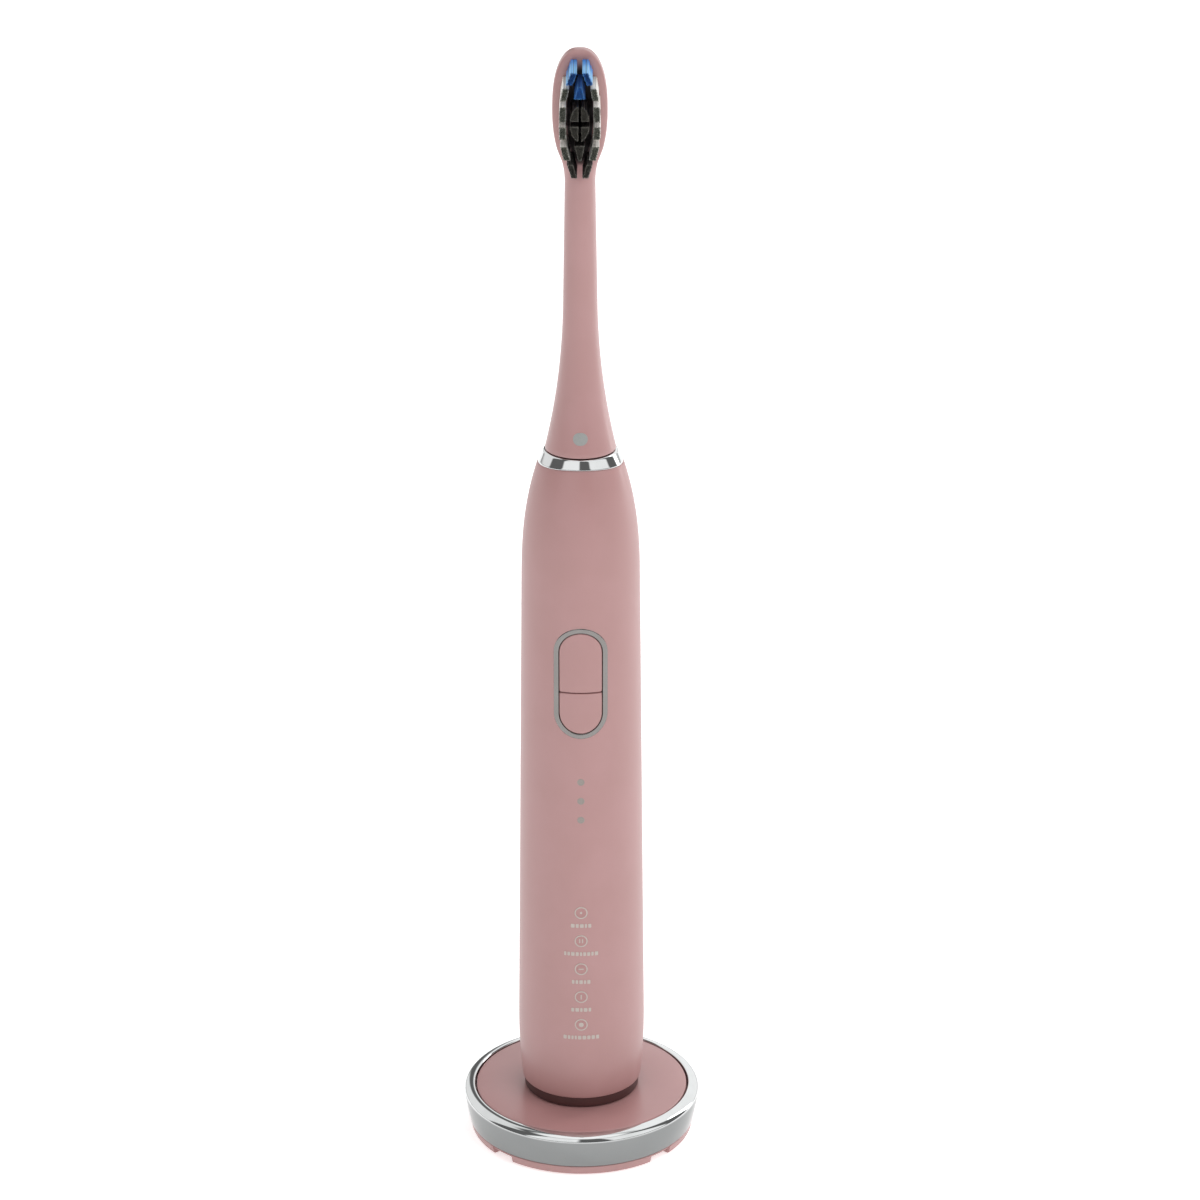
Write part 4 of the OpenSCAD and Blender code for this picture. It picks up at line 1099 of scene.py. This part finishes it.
def brush_neck():
    """Point at angle a of row z: x = width |cos a|^(2/n), y = depth |sin a|^(2/n), with n from
    2 at the stem to 7 on the front face and 3 behind."""
    oval_low = OVAL_Z - OVAL_H / 2
    tip = OVAL_Z + OVAL_H / 2 * np.sin(np.linspace(0, pi / 2, 34))
    z = np.concatenate([np.linspace(NECK_Z + 0.3, NECK_Z + FLARE_H, 34),
                        np.linspace(NECK_Z + FLARE_H, oval_low - 4, 12)[1:],
                        np.linspace(oval_low - 4, OVAL_Z, 38)[1:], tip[1:-1],
                        [HEAD_TOP - 0.012]])
    round_h = 1.7
    round_top = (1 - np.clip((z - HEAD_TOP) / round_h + 1, 0, 1) ** 2.6) ** (1 / 2.6)
    width = head_half_width(z)
    stem = neck_r(z)
    front = stem + (HEAD_T / 2 - stem) * smooth(z, oval_low - 2.5, oval_low + 3.5)
    back = stem + (HEAD_T / 2 - stem) * smooth(z, oval_low - 5, oval_low + 9)
    flat = smooth(z, oval_low - 1, oval_low + 6)
    a = np.linspace(0, tau, 112, endpoint=False)[None]
    in_front = np.sin(a) < 0
    n = np.where(in_front, 2 + 5 * flat[:, None], 2 + 1.0 * flat[:, None])
    depth = np.where(in_front, (front * round_top)[:, None], (back * round_top)[:, None])
    x = width[:, None] * np.sign(np.cos(a)) * np.abs(np.cos(a)) ** (2 / n)
    y = depth * np.sign(np.sin(a)) * np.abs(np.sin(a)) ** (2 / n)
    outside = np.stack([x, y, np.broadcast_to(z[:, None], x.shape)], -1) * MM
    lip_r, room_r, bore_r = float(neck_r(NECK_Z)), 6.2, insert_high[0] + 0.05
    inside = turn(rounded(np.array([
        (bore_r * 0.5, insert_high[2] + 0.05, 0), (bore_r, insert_high[2] + 0.05, 0.1),
        (bore_r, NECK_Z + 7, 1.0), (room_r, NECK_Z + 1, 0.6), (room_r, NECK_Z, 0.12),
        (lip_r - 0.25, NECK_Z, 0.1), (lip_r - 0.07, NECK_Z + 0.08, 0)]) * MM, False), 112)
    # The head's coat is painted dark maroon between the tufts: painted shade
    coat = soft_touch("brush_soft_touch", PINK, 0.3, painted_shade=shade_between_tufts)
    return skin("neck_and_head", np.concatenate([inside, outside]), coat, "poles", 50)


settle(brush_neck(), "brush_head", "pink_soft_touch", "brush_neck")
print("head", round(OVAL_W, 2), "mm wide, top at", round(HEAD_TOP, 1))


# %% Dot on the neck
def on_neck(x, z, lift=0.0):
    """The point straight in front of (x, z) on the neck."""
    y = -np.sqrt((neck_r(z) + lift) ** 2 - np.asarray(x) ** 2)
    return np.stack([x + 0 * y, y, z + 0 * y], -1) * MM


ink_pad("neck_dot", 0, NECK_Z + 4.2, 1.6, 1.36, "brush_head", on_neck, dot_ink)

# %% [markdown]
# ## Bristles
# A tuft is a bundle of nylon filaments with its own outline. The outlines are read from the
# packed tufts, each is filled with a close-packed pattern of filaments, and every filament is
# a thin six-sided rod with a rounded tip. Hair particles would be quicker, but a rod is a solid
# that the export keeps. Small random differences in length and lean keep the bundle from
# looking moulded. One number along each rod lets the finish paint the tips, where ends darker
# than the side are painted shade, and a lighter rim round each tuft is a painted highlight.

# %% Nylon
def nylon(name, root, side, tip, rim_tip_highlight, tip_from, spread=0.3, gloss=0.32):
    """Filament colour: root to side along the rod, then tip at its end, or a lighter colour round
    the tuft's edge as a painted highlight, and each filament a little lighter or darker than the
    next.
    An end darker than the side is painted shade."""
    paint = Paint(name, {"Subsurface Weight": 0.2, "Subsurface Radius": (0.001, 0.001, 0.001),
                         "Subsurface Scale": 0.3, "Specular IOR Level": 0.5})
    along = paint.attribute("along")
    strand = paint.attribute("strand")
    colour = paint.mix(paint.grade(along, 0.1, 0.7), srgb(root), srgb(side))
    # Painted light on the ends: the lighter colour round each tuft's edge is a painted highlight,
    # and an end darker than the side is painted shade
    end = paint.mix(paint.attribute("rim"), srgb(tip), srgb(rim_tip_highlight))
    colour = paint.mix(paint.grade(along, tip_from - 0.015, tip_from), colour, end)
    shade = paint.grade(strand, 0, 1, 1 - spread, 1 + spread / 2)
    grey = paint.node("CombineColor", {}, {0: shade, 1: shade, 2: shade})
    paint.feed("Base Color", paint.mix(1.0, colour, grey, "MULTIPLY"))
    paint.feed("Roughness", gloss + strand * 0.15)
    return paint.owner


blue_nylon = nylon("blue_nylon", "3A84D2", "7CBCEC", "20569E", "4684C8", 0.965, 0.5)
blue_wedge_nylon = nylon("blue_wedge_nylon", "1D5296", "357CC6", "2C6AB4", "5896D6", 0.96)
white_nylon = nylon("white_nylon", "DAD6CF", "F0EDE8", "60635A", "85877C", 0.962)
grey_nylon = nylon("grey_nylon", "0C0B0B", "191716", "4A4842", "7C7A72", 0.97)

# %% Filaments in tufts
BRISTLE_R = 0.085
PITCH = 0.178


def hull(points):
    """The convex outline of flat points, anticlockwise: turned round if its area is negative."""
    points = np.unique(points.round(5), axis=0)
    outline = points[convex_hull_2d(points.tolist())]
    x, z = outline.T
    area = (x * np.roll(z, -1) - np.roll(x, -1) * z).sum()
    return outline if area > 0 else outline[::-1]


def tuft_outlines(node):
    """One flat outline (x, z) in mm for each separate solid of a packed tuft node. Points that
    share a face belong together, so labels spread along the triangles until they settle."""
    mesh = frame["nodes"][node].data
    co = np.zeros(len(mesh.vertices) * 3, np.float32)
    mesh.vertices.foreach_get("co", co)
    co = co.reshape(-1, 3).astype(float) / MM
    _, same = np.unique(co.round(3), axis=0, return_inverse=True)
    same = same.ravel()
    corners = np.zeros(len(mesh.loops), np.int32)
    mesh.loops.foreach_get("vertex_index", corners)
    tris = same[corners.reshape(-1, 3)]
    label = np.arange(same.max() + 1)
    while True:
        least = label[tris].min(1)
        new = label.copy()
        for k in range(3):
            np.minimum.at(new, tris[:, k], least)
        if (new == label).all():
            break
        label = new
    of_point = label[same]
    return [hull(co[of_point == part][:, [0, 2]]) for part in np.unique(of_point)]


def packed_spots(outline, margin):
    """Close-packed points that lie at least margin inside every side of a convex outline, and
    1 for each that is next to a side, else 0."""
    low, high = outline.min(0), outline.max(0)
    zs = np.arange(low[1], high[1] + PITCH, PITCH * sqrt(3) / 2)
    spots = np.concatenate([np.stack([
        np.arange(low[0], high[0] + PITCH, PITCH) + (PITCH / 2) * (k % 2),
        np.full(len(np.arange(low[0], high[0] + PITCH, PITCH)), z)], 1)
        for k, z in enumerate(zs)])
    side = np.roll(outline, -1, 0) - outline
    side = side / np.hypot(*side.T)[:, None]
    away = spots[:, None] - outline[None]
    inside = side[None, :, 0] * away[..., 1] - side[None, :, 1] * away[..., 0]
    reach = inside.min(1)
    kept = reach > margin
    return np.column_stack([spots, reach < margin + PITCH * 0.8])[kept]


def tuft(name, node, material, slot, seed):
    """Every filament is six points round a centre line at five stations: root, three on the
    way and the shoulder, closed by a point at each end. The centre line leans a little."""
    chance = np.random.default_rng(seed)
    low, high = size_mm(node)
    root_y, tip_y = -HEAD_T / 2 + 1.0, low[1]
    spots = np.concatenate([packed_spots(o, 0.02) for o in tuft_outlines(node)])
    count = len(spots)
    length = (root_y - tip_y) * (1 - 0.014 * chance.random(count))
    lean = chance.normal(0, 0.035, (count, 2))
    sides, stations = 6, np.array([0, 0.35, 0.7, 0.93, 0.985])
    a = np.arange(sides) * tau / sides
    ring = np.arange(sides * len(stations)).reshape(-1, sides)
    tip, size = ring.size, ring.size + 2
    girth = np.array([1, 1, 1, 1, 0.8]) * BRISTLE_R
    t = stations[None, :, None]
    x = spots[:, 0, None, None] + lean[:, 0, None, None] * t ** 2 \
        + girth[None, :, None] * np.cos(a)
    z = spots[:, 1, None, None] + lean[:, 1, None, None] * t ** 2 \
        + girth[None, :, None] * np.sin(a)
    y = root_y - length[:, None, None] * t + 0 * x
    rods = np.stack([x, y, z], -1).reshape(count, -1, 3)
    tips = np.stack([spots[:, 0] + lean[:, 0], root_y - length, spots[:, 1] + lean[:, 1]], -1)
    roots = np.stack([spots[:, 0], np.full(count, root_y), spots[:, 1]], -1)
    points = np.concatenate([rods, tips[:, None], roots[:, None]], 1)
    walls = cells(ring).reshape(-1, 4)
    caps = [[ring[-1, k], ring[-1, k - sides + 1], tip] for k in range(sides)] \
        + [[ring[0, k - sides + 1], ring[0, k], tip + 1] for k in range(sides)]
    offset = (np.arange(count) * size)[:, None, None]
    quads = (walls[None] + offset).reshape(-1, 4)
    tris = (np.array(caps)[None] + offset).reshape(-1, 3)
    piece = make_object(name, points.reshape(-1, 3) * MM, [*quads.tolist(), *tris.tolist()],
                        material, 60)
    along = np.tile(np.concatenate([np.repeat(stations, sides), [1, 0]]), count)
    # rim is 1 for filaments at a tuft's edge, whose ends get the painted highlight
    strand, rim = np.repeat(chance.random(count), size), np.repeat(spots[:, 2], size)
    for label, values in (("along", along), ("strand", strand), ("rim", rim)):
        layer = piece.data.attributes.new(label, "FLOAT", "POINT")
        layer.data.foreach_set("value", values.astype(np.float32))
    settle(piece, "brush_head", slot, node)
    return count


TUFTS = (
    ("tip_bristles", "blue_tufts", blue_nylon, "blue_bristle"),
    ("tip_wedge_bristles", "blue_wedge_tuft", blue_wedge_nylon, "blue_bristle"),
    ("side_bristles", "outer_tufts", white_nylon, "white_bristle"),
    ("middle_bristles", "centre_tufts", grey_nylon, "grey_bristle"),
    ("wedge_bristles", "wedge_tuft", grey_nylon, "grey_bristle"),
    ("heel_bristles", "heel_tufts", grey_nylon, "grey_bristle"),
)
total = sum(tuft(*row, seed) for seed, row in enumerate(TUFTS))
print("filaments:", total)

# %% [markdown]
# ## Everything inside
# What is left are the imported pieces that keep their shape. They could be built again as well,
# but nobody sees them until the brush comes apart, so each only takes the finish of its slot.

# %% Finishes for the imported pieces
slot_of = {row["node"]: row["material_slot"] for row in frame["record"]["subparts"]}
for node, obj in frame["nodes"].items():
    finish = INNER.get(slot_of[node])
    if finish is None:
        continue
    for holder in obj.material_slots:
        holder.material = finish
    if not obj.material_slots:
        obj.data.materials.append(finish)
print("packed pieces with a finish:", sum(slot in INNER for slot in slot_of.values()))
